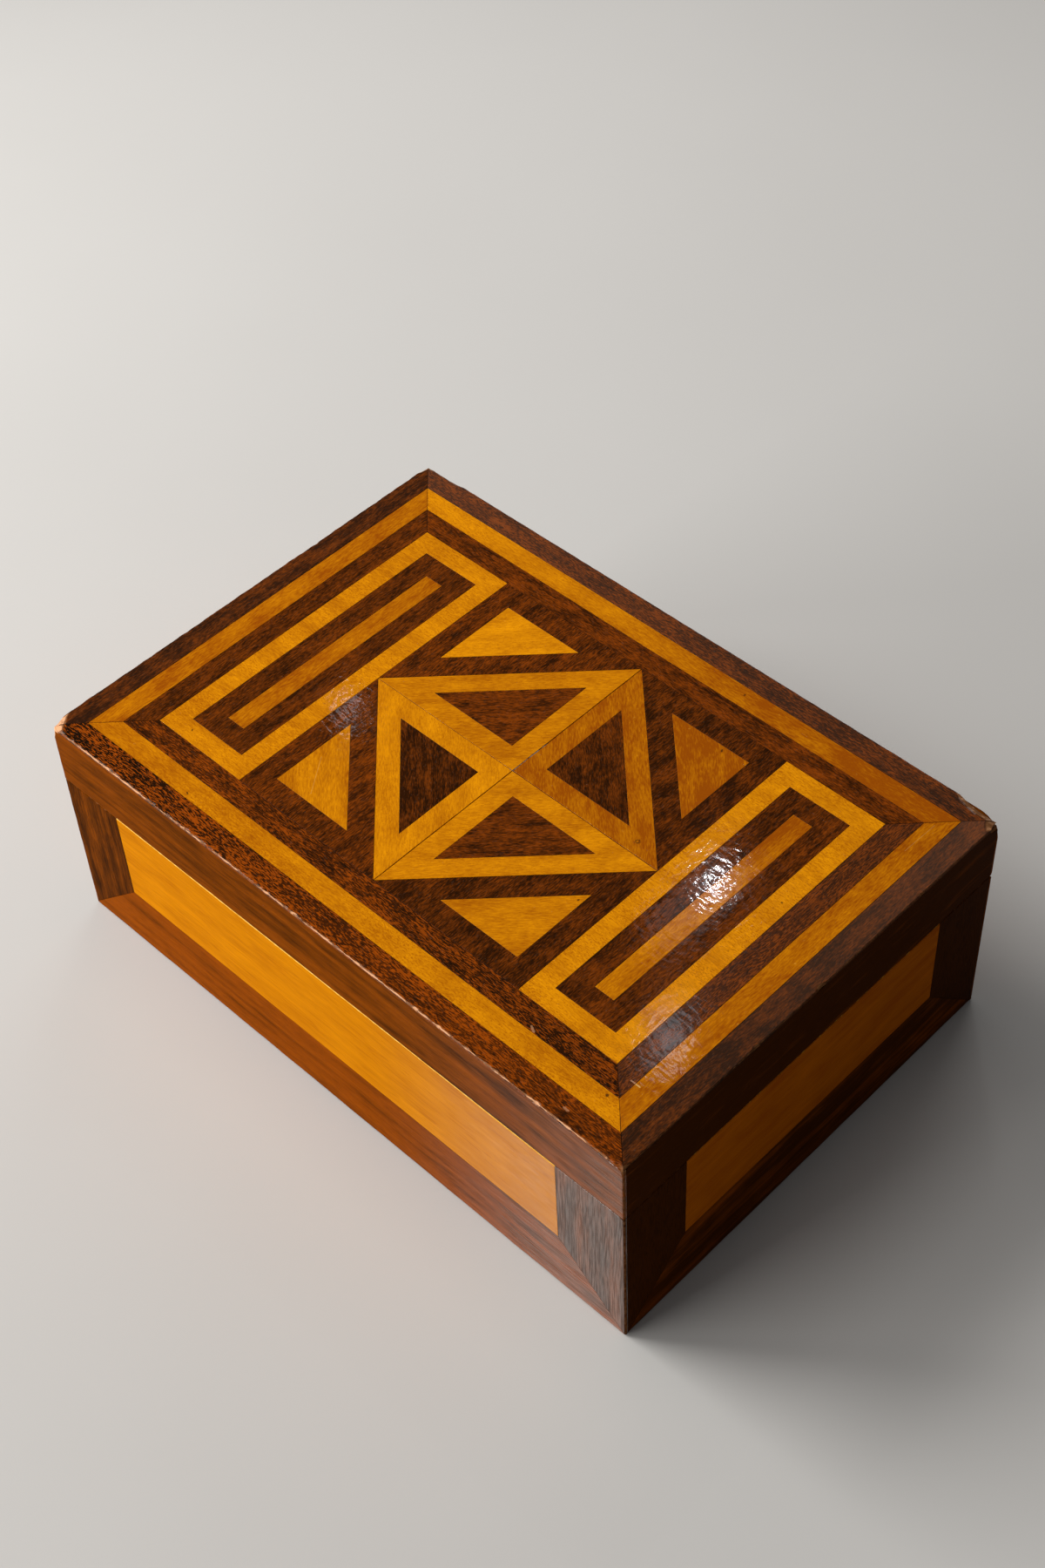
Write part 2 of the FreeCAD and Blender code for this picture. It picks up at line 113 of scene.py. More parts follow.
@dataclass(frozen=True)
class EdgeShape:
    """How the edge of a veneer is finished.

    Attributes:
        inset: width of the sloping or rounded edge.
        depth: how far the edge drops below the face.
        rounded: whether the edge is a rounding or a straight slope.
        glue: share of dark glue in the edge, with pale dust in it above 1.
        wear: share of rubbed, bare wood in the edge; on some edges this pale colour is a painted highlight.
        core: share of bare wood on the side below the edge.
        waver: how far the edge wanders.
        pitch: length over which it wanders.
        step: distance between the points of a wandering edge.
        patchy: how far the wear comes and goes along the edge.
    """

    inset: float
    depth: float
    rounded: bool = False
    glue: float = 0.0
    wear: float = 0.0
    core: float = 0.0
    waver: float = 0.0
    pitch: float = 6.0
    step: float = 0.0
    patchy: float = 0.0


class Edge(Enum):
    """The kinds of edge that the veneers have."""

    TIGHT = EdgeShape(inset=0.06, depth=0.06, glue=0.8)
    GLUED = EdgeShape(inset=0.10, depth=0.12, glue=1.0, waver=0.05, pitch=4.0, step=1.5)
    OPEN = EdgeShape(inset=0.13, depth=0.20, glue=1.0, waver=0.05, pitch=5.0, step=1.0)
    DUSTY = EdgeShape(inset=0.17, depth=0.07, glue=3.0, waver=0.08, pitch=2.5, step=0.8)
    COVERED = EdgeShape(inset=0.06, depth=0.06, core=1.0, step=1.2)
    # The front's pale edge line: partly rubbed bare wood, partly a painted highlight of the lit rounding.
    RUBBED_AND_HIGHLIT = EdgeShape(inset=0.31, depth=0.33, rounded=True, wear=0.92, waver=0.30, pitch=1.6, step=0.4,
                       patchy=0.75)
    ARRIS = EdgeShape(inset=0.42, depth=0.40, rounded=True, wear=0.33, waver=0.26, pitch=2.2, step=0.5,
                      patchy=0.12)
    CRISP = EdgeShape(inset=0.20, depth=0.18, rounded=True, wear=0.45, waver=0.12, pitch=2.2, step=0.5,
                      patchy=0.3)
    UPRIGHT = EdgeShape(inset=0.45, depth=0.45, rounded=True, wear=0.42, waver=0.15, pitch=5.0, step=1.0)
    # A painted highlight: pale wear colour along the top edge of the light front panel.
    PAINTED_HIGHLIGHT_RIM = EdgeShape(inset=0.30, depth=0.28, rounded=True, wear=0.9, waver=0.08, pitch=9.0, step=1.5)
    RIM = EdgeShape(inset=0.28, depth=0.26, rounded=True, wear=0.32, waver=0.10, pitch=7.0, step=1.5)
    FOOT = EdgeShape(inset=0.34, depth=0.32, rounded=True, wear=0.38, waver=0.16, pitch=6.0, step=1.5)

    @property
    def chips_off(self) -> bool:
        """Whether wood breaks away at such an edge."""
        return self in (Edge.RUBBED_AND_HIGHLIT, Edge.ARRIS, Edge.CRISP, Edge.UPRIGHT, Edge.COVERED)


@dataclass(frozen=True)
class Cut:
    """How a piece of veneer was cut from its sheet.

    Attributes:
        turn: angle of the grain in the face, in degrees from the face's across direction.
        tone: lighter above 0 and darker below it.
        red: share of red heartwood.
        fleck: strength of the dark flecks.
        slope: change of tone over 100 mm along the grain.
        thin: change of the flecks over 100 mm along the grain.
        polish: share of the first polish that is left at the right end.
        haze: share of grey haze in the finish, partly real and partly a painted sheen.
        haze_slope: how fast the haze and painted sheen grow along the grain, for each 100 mm.
    """

    turn: float = 0.0
    tone: float = 0.0
    red: float = 0.0
    fleck: float = 0.4
    slope: float = 0.0
    thin: float = 0.0
    polish: float = 0.0
    haze: float = 0.0
    haze_slope: float = 0.0


@dataclass(frozen=True)
class Chip:
    """A place where the edge of the lid's veneer has broken away.

    Attributes:
        place: x and y of its middle.
        reach: half its length along y.
        bite: how far it goes in.
        bare: share of pale bare wood in the break.
        narrow: how much shorter it is along x than along y.
        straight: whether it is a straight break or a rounded one.
    """

    place: Point
    reach: float
    bite: float
    bare: float = 0.5
    narrow: float = 1.0
    straight: bool = False

    def at(self, point: Point) -> float:
        """Depth of the chip at a point of the edge."""
        away = math.hypot((point[0] - self.place[0]) * self.narrow, point[1] - self.place[1]) / self.reach
        return self.bite * max(0.0, 1.0 - (away if self.straight else away * away))


def seed_of(name: str) -> int:
    """A fixed number for a name."""
    return zlib.crc32(name.encode())


def grain_shift(name: str) -> Vector:
    """Where in the wood a piece was cut, in metres, the same in every run."""
    draw = random.Random(seed_of(name))
    return Vector(draw.uniform(-WOOD_REACH, WOOD_REACH) for _ in range(3))


def values_of(owner: Any, labels: Iterable[str]) -> dict[str, float]:
    """Fields of an object, by the labels of the sockets that take them."""
    return {label: getattr(owner, label.lower().replace(" ", "_")) for label in labels}


def node_size(node: str) -> tuple[Vector, Vector]:
    """Lowest and highest corner of a CAD node, in millimetres."""
    low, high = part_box(node)
    return low / MM, high / MM


# Shader and geometry graphs


class Graph:
    """Adds nodes to a node tree and wires them."""

    def __init__(self, tree: bpy.types.NodeTree) -> None:
        """Take the tree that the nodes go into, and empty it."""
        self.tree = tree
        tree.nodes.clear()

    def add(self, kind: str, feeds: Optional[Feeds] = None, **settings: Any) -> bpy.types.Node:
        """Add one node.

        Args:
            kind: the node's type name.
            feeds: values or sockets for its inputs, by name or number.
            settings: properties of the node.

        Returns:
            The new node.
        """
        made = self.tree.nodes.new(kind)
        for key, value in settings.items():
            setattr(made, key, value)
        for key, value in (feeds or {}).items():
            self.feed(made.inputs[key], value)
        return made

    def feed(self, socket: Socket, value: Feed) -> None:
        """Link a socket to an input, or set the input's own value.

        Args:
            socket: the input.
            value: a socket, a material, a number or a row of numbers.
        """
        if isinstance(value, bpy.types.NodeSocket):
            self.tree.links.new(value, socket)
        else:
            socket.default_value = value

    def maths(self, operation: str, *values: Feed, clamp: bool = False) -> Socket:
        """Result of a Math node."""
        kind = "ShaderNodeMath"
        return self.add(kind, dict(enumerate(values)), operation=operation, use_clamp=clamp).outputs[0]

    def vector(self, operation: str, *values: Feed) -> Socket:
        """Result of a Vector Math node."""
        return self.add("ShaderNodeVectorMath", dict(enumerate(values)), operation=operation).outputs[0]

    def dot(self, first: Feed, second: Feed) -> Socket:
        """Dot product of two vectors."""
        feeds = {0: first, 1: second}
        return self.add("ShaderNodeVectorMath", feeds, operation="DOT_PRODUCT").outputs["Value"]

    def scaled(self, place: Feed, factor: float) -> Socket:
        """A place with all its axes scaled alike."""
        return self.vector("MULTIPLY", place, (factor, factor, factor))

    def axes(self, x: Feed, y: Feed, z: Feed) -> Socket:
        """A vector of three values."""
        return self.add("ShaderNodeCombineXYZ", {"X": x, "Y": y, "Z": z}).outputs[0]

    def parts(self, vector: Feed) -> Any:
        """The values of a vector's axes."""
        return self.add("ShaderNodeSeparateXYZ", {"Vector": vector}).outputs

    def swing(self, value: Feed, contrast: Feed) -> Socket:
        """A noise as a swing about zero."""
        return self.maths("MULTIPLY", self.maths("SUBTRACT", value, NOISE_MIDDLE), contrast)

    def remap(self, value: Feed, low: Feed, high: Feed, to_low: Feed = 0.0,
              to_high: Feed = 1.0) -> Socket:
        """A smooth step from one level to another, while a value goes from low to high."""
        feeds = {"Value": value, "From Min": low, "From Max": high, "To Min": to_low, "To Max": to_high}
        return self.add("ShaderNodeMapRange", feeds, interpolation_type="SMOOTHSTEP").outputs[0]

    def blend(self, share: Feed, first: Feed, second: Feed) -> Socket:
        """A mix of two colours."""
        return self.add("ShaderNodeMix", {0: share, 6: first, 7: second}, data_type="RGBA").outputs[2]

    def cloud(self, place: Feed, detail: float = 2.0, roughness: float = 0.5) -> Socket:
        """Noise of about 0 to 1 with features near one unit."""
        feeds = {"Vector": place, "Scale": 1.0, "Detail": detail, "Roughness": roughness}
        return self.add("ShaderNodeTexNoise", feeds, noise_dimensions="3D").outputs[0]

    def attribute(self, name: str, output: str) -> Socket:
        """A mesh attribute of the piece."""
        made = self.add("ShaderNodeAttribute", attribute_name=name, attribute_type="GEOMETRY")
        return made.outputs[output]


def rgba(colour: Colour) -> tuple[float, float, float, float]:
    """A colour with full cover."""
    return (*colour, 1.0)


def new_material(name: str) -> tuple[bpy.types.Material, Graph]:
    """An empty material and its graph.

    Args:
        name: name of the material.

    Returns:
        The material and the graph.
    """
    made = bpy.data.materials.new(name)
    made.use_nodes = True
    return made, Graph(made.node_tree)


class SharedGroup:
    """A shader node group that several finishes use."""

    name: str = ""
    inputs: dict[str, str] = {}
    outputs: dict[str, str] = {}

    def __init__(self) -> None:
        """Make the tree and its sockets, and wire it."""
        self.tree = bpy.data.node_groups.new(self.name, "ShaderNodeTree")
        for direction, sockets in (("INPUT", self.inputs), ("OUTPUT", self.outputs)):
            for label, kind in sockets.items():
                self.tree.interface.new_socket(label, in_out=direction, socket_type="NodeSocket" + kind)
        self.graph = Graph(self.tree)
        self.given = self.graph.add("NodeGroupInput").outputs
        self.graph.add("NodeGroupOutput", self.wire())

    def wire(self) -> Feeds:
        """Wire the group from its inputs, and give the socket for each output."""
        raise NotImplementedError

    def place(self, graph: Graph, feeds: Feeds) -> Any:
        """Put the group into a material, and give its output sockets."""
        return graph.add("ShaderNodeGroup", feeds, node_tree=self.tree).outputs


class WoodFigure(SharedGroup):
    """Streaks, fibres, clouds, flecks and pale filled pores of a wood, along its grain; the pale pores are
    partly painted glints.

    The lengths of streaks, clouds and zones of flecks are multiples of their widths.
    """

    name = "wood_figure"
    SIZES = ("Pore Amount", "Streak Width", "Streak Contrast", "Fibre Length", "Fibre Width",
             "Fibre Contrast", "Cloud Size", "Cloud Contrast", "Fleck Length", "Fleck Width", "Fleck Level")
    inputs = {
        "Grain": "Vector", "Pale": "Color", "Deep": "Color", "Red": "Color", "Fleck Colour": "Color",
        "Pore Colour": "Color", "Tone": "Float", "Redness": "Float", "Fleck Amount": "Float",
        **dict.fromkeys(SIZES, "Float")}
    outputs = {"Colour": "Color", "Height": "Float"}
    DRIFT_SCALE = (0.03, 0.09, 0.09)
    DRIFT = 3.0
    STREAK_LENGTH = 30.0
    CLOUD_LENGTH = 2.0
    ZONE_LENGTH = 3.5
    ZONE_SWING = -0.33
    FLECK_RARITY = 0.10
    FLECK_EDGE = 0.09
    FLECK_DEPTH = 0.15
    PORE_LENGTH = 1.1
    PORE_WIDTH = 0.20
    PORE_LEVELS = (0.65, 0.70)
    TONE_SHARE = 0.5
    RED_LEVELS = (0.1, 0.75, 0.1, 1.0)

    def wire(self) -> Feeds:
        """Wire the figure.

        Returns:
            Colour, and height of about 0 to 1.
        """
        graph, given = self.graph, self.given
        grain = graph.scaled(given["Grain"], TO_MM)
        drift = graph.cloud(graph.vector("MULTIPLY", grain, self.DRIFT_SCALE), detail=1.0)
        drift = graph.swing(drift, self.DRIFT)
        wavy = graph.vector("ADD", grain, graph.axes(0.0, drift, drift))

        def fibres(length: Feed, width: Feed, detail: float = 2.0) -> Socket:
            """Noise that is drawn out along the grain."""
            size = graph.axes(length, width, width)
            return graph.cloud(graph.vector("DIVIDE", wavy, size), detail=detail)

        def times(label: str, factor: float) -> Socket:
            """One of the inputs, times a factor."""
            return graph.maths("MULTIPLY", given[label], factor)

        streak = fibres(times("Streak Width", self.STREAK_LENGTH), given["Streak Width"], detail=3.0)
        fibre = fibres(given["Fibre Length"], given["Fibre Width"])
        cloud = fibres(times("Cloud Size", self.CLOUD_LENGTH), given["Cloud Size"])
        zones = fibres(times("Cloud Size", self.ZONE_LENGTH), given["Cloud Size"])
        rare = graph.maths("SUBTRACT", 1.0, given["Fleck Amount"])
        level = graph.maths("ADD", given["Fleck Level"], graph.maths("MULTIPLY", rare, self.FLECK_RARITY))
        level = graph.maths("ADD", level, graph.swing(zones, self.ZONE_SWING))
        flecks = fibres(given["Fleck Length"], given["Fleck Width"])
        flecks = graph.remap(flecks, level, graph.maths("ADD", level, self.FLECK_EDGE))
        flecks = graph.maths("MULTIPLY", flecks, given["Fleck Amount"], clamp=True)
        # Pale filled pores, partly painted glints on the edges of the pores.
        pores = graph.remap(fibres(self.PORE_LENGTH, self.PORE_WIDTH, detail=1.0), *self.PORE_LEVELS)
        pores = graph.maths("MULTIPLY", pores, given["Pore Amount"])

        light = graph.swing(streak, given["Streak Contrast"])
        light = graph.maths("ADD", light, graph.swing(fibre, given["Fibre Contrast"]))
        light = graph.maths("ADD", light, graph.swing(cloud, given["Cloud Contrast"]))
        light = graph.maths("ADD", light, times("Tone", self.TONE_SHARE))
        light = graph.maths("ADD", light, NOISE_MIDDLE, clamp=True)
        colour = graph.blend(light, given["Deep"], given["Pale"])
        reddish = graph.maths("MULTIPLY", given["Redness"], graph.remap(light, *self.RED_LEVELS))
        colour = graph.blend(reddish, colour, given["Red"])
        colour = graph.blend(flecks, colour, given["Fleck Colour"])
        colour = graph.blend(pores, colour, given["Pore Colour"])
        height = graph.maths("SUBTRACT", fibre, graph.maths("MULTIPLY", flecks, self.FLECK_DEPTH))
        return {"Colour": colour, "Height": height}


class EdgeWear(SharedGroup):
    """Glue lines, dust and rubbed edges over a wood's colour; on some edges the pale rubbed colour is a
    painted highlight.
    """

    name = "edge_wear"
    inputs = {
        "Colour": "Color", "Place": "Vector", "Glue": "Float", "Wear": "Float", "Glue Colour": "Color",
        "Dust Colour": "Color", "Worn Colour": "Color", "Bare Colour": "Color"}
    outputs = {"Colour": "Color", "Bare": "Float"}
    PATCH_SCALE = 700.0
    GLUE_LEVELS = (0.25, 0.6, 0.55, 1.0)
    DUST_LEVELS = (0.34, 0.52)
    WORN_LEVELS = (0.2, 0.5)
    BARE_LEVELS = (0.58, 0.92)

    def wire(self) -> Feeds:
        """Wire the wear.

        Returns:
            Colour, and mask of bare wood.
        """
        graph, given = self.graph, self.given
        patches = graph.cloud(graph.scaled(given["Place"], self.PATCH_SCALE), detail=3.0)
        glue = graph.maths("MULTIPLY", given["Glue"], graph.remap(patches, *self.GLUE_LEVELS), clamp=True)
        colour = graph.blend(glue, given["Colour"], given["Glue Colour"])
        dusty = graph.maths("SUBTRACT", given["Glue"], 1.0, clamp=True)
        dusty = graph.maths("MULTIPLY", dusty, graph.remap(patches, *self.DUST_LEVELS))
        colour = graph.blend(dusty, colour, given["Dust Colour"])
        rubbed = graph.maths("ADD", given["Wear"], graph.maths("SUBTRACT", patches, NOISE_MIDDLE))
        colour = graph.blend(graph.remap(rubbed, *self.WORN_LEVELS), colour, given["Worn Colour"])
        bare = graph.remap(rubbed, *self.BARE_LEVELS)
        return {"Colour": graph.blend(bare, colour, given["Bare Colour"]), "Bare": bare}


class OldPolish(SharedGroup):
    """Rippled, scratched and dusty surface of an old finish."""

    name = "old_polish"
    inputs = {"Place": "Vector", "Grain": "Vector", "Gloss": "Float", "Dull": "Float", "Ripple": "Float"}
    outputs = {"Roughness": "Float", "Height": "Float", "Dust": "Float"}
    BROAD_SCALE = 0.22
    BROAD_SHARE = 0.3
    PEEL_SCALE = (800.0, 400.0, 400.0)
    PEEL_SHARE = 0.75
    BLOTCH_SCALE = 0.05
    BLOTCH_LEVELS = (0.3, 0.7)
    SPECK_SCALE = 2.0
    DUST_LEVELS = (0.72, 0.78)
    HAIR_TURN = (0.5, 0.35, 0.9)
    HAIR_SCALE = (0.05, 1.6, 1.6)
    SCRATCH_LEVELS = (0.74, 0.77)
    SCRATCH_DEPTH = 0.002
    FLAW_ROUGHNESS = 0.12

    def wire(self) -> Feeds:
        """Wire the polish.

        Returns:
            Roughness, height in millimetres and dust mask.
        """
        graph, given = self.graph, self.given
        place = graph.scaled(given["Place"], TO_MM)
        broad = graph.cloud(graph.scaled(place, self.BROAD_SCALE), detail=1.0)
        peel = graph.cloud(graph.vector("MULTIPLY", given["Grain"], self.PEEL_SCALE), detail=1.5)
        ripple = graph.maths("ADD", graph.maths("MULTIPLY", broad, self.BROAD_SHARE),
                             graph.maths("MULTIPLY", peel, self.PEEL_SHARE))
        blotch = graph.cloud(graph.scaled(place, self.BLOTCH_SCALE), detail=4.0, roughness=0.6)
        dust = graph.remap(graph.cloud(graph.scaled(place, self.SPECK_SCALE)), *self.DUST_LEVELS)
        hair = graph.add("ShaderNodeMapping", {
            "Vector": place, "Rotation": self.HAIR_TURN, "Scale": self.HAIR_SCALE})
        scratch = graph.remap(graph.cloud(hair.outputs[0], detail=1.0), *self.SCRATCH_LEVELS)
        rough = graph.remap(blotch, *self.BLOTCH_LEVELS, given["Gloss"], given["Dull"])
        flaws = graph.maths("MULTIPLY", graph.maths("ADD", scratch, dust), self.FLAW_ROUGHNESS)
        rough = graph.maths("ADD", rough, flaws)
        height = graph.maths("MULTIPLY", ripple, given["Ripple"])
        height = graph.maths("SUBTRACT", height, graph.maths("MULTIPLY", scratch, self.SCRATCH_DEPTH))
        return {"Roughness": rough, "Height": height, "Dust": dust}


class MarkMask(SharedGroup):
    """Mask of a dot, ring or scratch on the lid."""

    name = "mark_mask"
    inputs = {"Place": "Vector", "Start": "Vector", "End": "Vector", "Radius": "Float", "Ring": "Float"}
    outputs = {"Mask": "Float"}
    LEAST_RUN = 1e-6
    ROUGH_SCALE = (2.5, 2.5, 0.0)
    ROUGH_LEVELS = (0.3, 0.7, 0.75, 1.35)
    DISC_LEVELS = (0.6, 1.0, 1.0, 0.0)
    HOLE_LEVELS = (0.3, 0.6, 1.0, 0.0)

    def wire(self) -> Feeds:
        """Wire the mask.

        Returns:
            The mask.
        """
        graph, given = self.graph, self.given
        flat = graph.vector("MULTIPLY", given["Place"], (TO_MM, TO_MM, 0.0))
        run = graph.vector("SUBTRACT", given["End"], given["Start"])
        away = graph.vector("SUBTRACT", flat, given["Start"])
        squared = graph.maths("MAXIMUM", graph.dot(run, run), self.LEAST_RUN)
        share = graph.maths("DIVIDE", graph.dot(away, run), squared, clamp=True)
        along = graph.add("ShaderNodeVectorMath", {0: run, "Scale": share}, operation="SCALE").outputs[0]
        gap = graph.vector("SUBTRACT", away, along)
        distance = graph.maths("SQRT", graph.dot(gap, gap))
        rough = graph.cloud(graph.vector("MULTIPLY", flat, self.ROUGH_SCALE))
        distance = graph.maths("MULTIPLY", distance, graph.remap(rough, *self.ROUGH_LEVELS))
        shares = graph.maths("DIVIDE", distance, given["Radius"])
        disc = graph.remap(shares, *self.DISC_LEVELS)
        hole = graph.maths("MULTIPLY", given["Ring"], graph.remap(shares, *self.HOLE_LEVELS))
        hole = graph.maths("SUBTRACT", 1.0, hole)
        return {"Mask": graph.maths("MULTIPLY", disc, hole)}


@dataclass(frozen=True)
class Groups:
    """The shared shader groups."""

    figure: WoodFigure = field(default_factory=WoodFigure)
    wear: EdgeWear = field(default_factory=EdgeWear)
    polish: OldPolish = field(default_factory=OldPolish)
    mark: MarkMask = field(default_factory=MarkMask)


# Finishes


@dataclass(frozen=True)
class Mark:
    """A stain, plugged pin hole or scratch on the lid.

    Attributes:
        start: x and y of one end.
        radius: half its width.
        end: x and y of the other end, if it has any length.
        ring: whether it is a ring.
        pale: whether it is pale or dark.
        strength: how well it shows.
    """

    start: Point
    radius: float
    end: Optional[Point] = None
    ring: bool = False
    pale: bool = False
    strength: float = 0.8

    def over(self, graph: Graph, groups: Groups, place: Socket, colour: Socket,
             finish: "WoodFinish") -> Socket:
        """Lay the mark over a colour.

        Args:
            graph: the material's graph.
            groups: the shared shader groups.
            place: socket of the place on the part.
            colour: socket of the colour below.
            finish: the wood.

        Returns:
            Socket of the marked colour.
        """
        mask = groups.mark.place(graph, {
            "Place": place, "Start": (*self.start, 0.0), "End": (*(self.end or self.start), 0.0),
            "Radius": self.radius, "Ring": float(self.ring)})["Mask"]
        share = graph.maths("MULTIPLY", mask, self.strength)
        return graph.blend(share, colour, rgba(finish.bare if self.pale else finish.glue))


@dataclass(frozen=True)
class WoodFinish:
    """A wood and its surface.

    Attributes:
        name: name of the material.
        slot: the record's slot.
        pale: colour of its light streaks.
        deep: colour of its dark streaks.
        red: colour of its red heartwood.
        fleck: colour of its flecks.
        bare: colour where its edges are rubbed, also used as a painted highlight along some edges.
        worn: colour where its finish has worn thin.
        pore_fill_and_glint: pale colour of what has settled in its pores, partly a painted glint on the
            edges of the pores.
        bloom_and_sheen: grey colour of the haze in its finish, partly a painted sheen.
        glue: colour of the glue lines.
        streak_width: width of the streaks.
        streak_contrast: how far the streaks differ.
        fibre_length: length of the fine fibres.
        fibre_width: width of the fine fibres.
        fibre_contrast: how far the fine fibres differ.
        cloud_size: width of broad patches.
        cloud_contrast: how far broad patches differ.
        fleck_length: length of the flecks.
        fleck_width: width of the flecks.
        fleck_level: how rare the flecks are.
        gloss: roughness where the finish is good.
        dull: roughness where it is worn.
        pore_amount: share of pale filled pores, partly painted glints, that shows.
        ripple: height of the finish's ripple.
        relief: depth of the grain.
        specular: reflection of the surface.
        coat_ior: refractive index of the first polish.
        dust: colour of the dust in the finish.
        marks: marks on the lid.
    """

    name: str
    slot: Slot
    pale: Colour
    deep: Colour
    red: Colour
    fleck: Colour
    bare: Colour
    worn: Colour
    pore_fill_and_glint: Colour = (0.24, 0.14, 0.09)
    bloom_and_sheen: Colour = (0.15, 0.095, 0.07)
    glue: Colour = (0.016, 0.007, 0.003)
    streak_width: float = 1.0
    streak_contrast: float = 1.0
    fibre_length: float = 2.2
    fibre_width: float = 0.26
    fibre_contrast: float = 0.4
    cloud_size: float = 5.0
    cloud_contrast: float = 0.4
    fleck_length: float = 1.4
    fleck_width: float = 0.26
    fleck_level: float = 0.56
    pore_amount: float = 0.0
    gloss: float = 0.03
    dull: float = 0.06
    ripple: float = 0.02
    relief: float = 0.0005
    specular: float = 0.07
    coat_ior: float = 2.3
    dust: Colour = (0.24, 0.20, 0.16)
    marks: Sequence[Mark] = ()
    DUST_SHARE = 0.22
    GLUE_LEVELS = (0.0, 0.2)
    MATT_ROUGHNESS = 0.5
    POLISH_LEVELS = (0.0, 0.75)
    POLISH_POWER = 2.0
    POLISH_WEAR = (0.0, 0.3, 1.0, 0.0)
    POLISH_FIGURE = (0.25, 0.7, 0.45, 1.0)
    COAT_ROUGHNESS = 0.12
    IOR = 1.5

    def material(self, groups: Groups) -> bpy.types.Material:
        """Make the material.

        Args:
            groups: the shared shader groups.

        Returns:
            The material.
        """
        made, graph = new_material(self.name)
        grain = graph.attribute("grain", "Vector")
        cut = graph.parts(graph.attribute("cut", "Vector"))
        figure = groups.figure.place(graph, {
            "Grain": grain, "Pale": rgba(self.pale), "Deep": rgba(self.deep), "Red": rgba(self.red),
            "Fleck Colour": rgba(self.fleck), "Pore Colour": rgba(self.pore_fill_and_glint), "Tone": cut["X"],
            "Redness": cut["Y"], "Fleck Amount": cut["Z"], **values_of(self, WoodFigure.SIZES)})
        place = graph.add("ShaderNodeTexCoord").outputs["Object"]
        surface = graph.parts(graph.attribute("surface", "Vector"))
        # Grey haze laid over the wood by the haze share: partly real, partly a painted sheen.
        colour = graph.blend(surface["Y"], figure["Colour"], rgba(self.bloom_and_sheen))
        glue, wear = graph.attribute("glue", "Fac"), graph.attribute("wear", "Fac")
        worn = groups.wear.place(graph, {
            "Colour": colour, "Place": place, "Glue": glue, "Wear": wear, "Glue Colour": rgba(self.glue),
            "Dust Colour": rgba(self.dust), "Worn Colour": rgba(self.worn), "Bare Colour": rgba(self.bare)})
        polish = groups.polish.place(graph, {"Place": place, "Grain": grain, "Gloss": self.gloss,
                                             "Dull": self.dull, "Ripple": self.ripple})
        dust = graph.maths("MULTIPLY", polish["Dust"], self.DUST_SHARE)
        colour = graph.blend(dust, worn["Colour"], rgba(self.dust))
        for mark in self.marks:
            colour = mark.over(graph, groups, place, colour, self)
        matt = graph.maths("MAXIMUM", graph.remap(glue, *self.GLUE_LEVELS), worn["Bare"])
        matt = graph.maths("MULTIPLY", graph.maths("ADD", matt, surface["Y"]), self.MATT_ROUGHNESS)
        rough = graph.maths("ADD", polish["Roughness"], matt, clamp=True)
        height = graph.maths("MULTIPLY", figure["Height"], self.relief)
        height = graph.maths("ADD", height, polish["Height"])
        bump = graph.add("ShaderNodeBump", {"Strength": 1.0, "Distance": MM, "Height": height})
        kept = graph.maths("POWER", graph.remap(surface["X"], *self.POLISH_LEVELS), self.POLISH_POWER)
        kept = graph.maths("MULTIPLY", kept, graph.remap(wear, *self.POLISH_WEAR))
        coat = graph.maths("MULTIPLY", kept, graph.remap(figure["Height"], *self.POLISH_FIGURE))
        shader = graph.add("ShaderNodeBsdfPrincipled", {
            "Base Color": colour, "Roughness": rough, "Normal": bump.outputs[0], "Coat Weight": coat,
            "Coat Roughness": self.COAT_ROUGHNESS, "Coat IOR": self.coat_ior,
            "Specular IOR Level": self.specular, "IOR": self.IOR})
        graph.add("ShaderNodeOutputMaterial", {"Surface": shader.outputs[0]})
        return made


@dataclass(frozen=True)
class MetalFinish:
    """A metal that has dulled with age.

    Attributes:
        name: name of the material.
        slot: the record's slot; not used.
        clean: colour where it is rubbed bright.
        tarnish: colour where it has dulled.
        gloss: roughness where it is bright.
        dull: roughness where it is dull.
        ripple: height of its uneven surface.
    """

    name: str
    slot: Slot
    clean: Colour
    tarnish: Colour
    gloss: float = 0.26
    dull: float = 0.5
    ripple: float = 0.02
    STAIN_SCALE = 260.0
    STAIN_LEVELS = (0.36, 0.66)
    STAIN_ROUGHNESS = 0.12

    def material(self, groups: Groups) -> bpy.types.Material:
        """Make the material.

        Args:
            groups: the shared shader groups.

        Returns:
            The material.
        """
        made, graph = new_material(self.name)
        place = graph.add("ShaderNodeTexCoord").outputs["Object"]
        polish = groups.polish.place(graph, {"Place": place, "Grain": place, "Gloss": self.gloss,
                                             "Dull": self.dull, "Ripple": self.ripple})
        stain = graph.cloud(graph.scaled(place, self.STAIN_SCALE), detail=5.0, roughness=0.65)
        share = graph.remap(stain, *self.STAIN_LEVELS)
        colour = graph.blend(share, rgba(self.clean), rgba(self.tarnish))
        worn = groups.wear.place(graph, {
            "Colour": colour, "Place": place, "Glue": 0.0, "Wear": graph.attribute("wear", "Fac"),
            "Glue Colour": rgba(self.tarnish), "Dust Colour": rgba(self.tarnish),
            "Worn Colour": rgba(self.clean), "Bare Colour": rgba(self.clean)})
        stained = graph.maths("MULTIPLY", share, self.STAIN_ROUGHNESS)
        rough = graph.maths("ADD", polish["Roughness"], stained, clamp=True)
        bump = graph.add("ShaderNodeBump", {"Strength": 1.0, "Distance": MM, "Height": polish["Height"]})
        shader = graph.add("ShaderNodeBsdfPrincipled", {
            "Base Color": worn["Colour"], "Roughness": rough, "Normal": bump.outputs[0], "Metallic": 1.0})
        graph.add("ShaderNodeOutputMaterial", {"Surface": shader.outputs[0]})
        return made


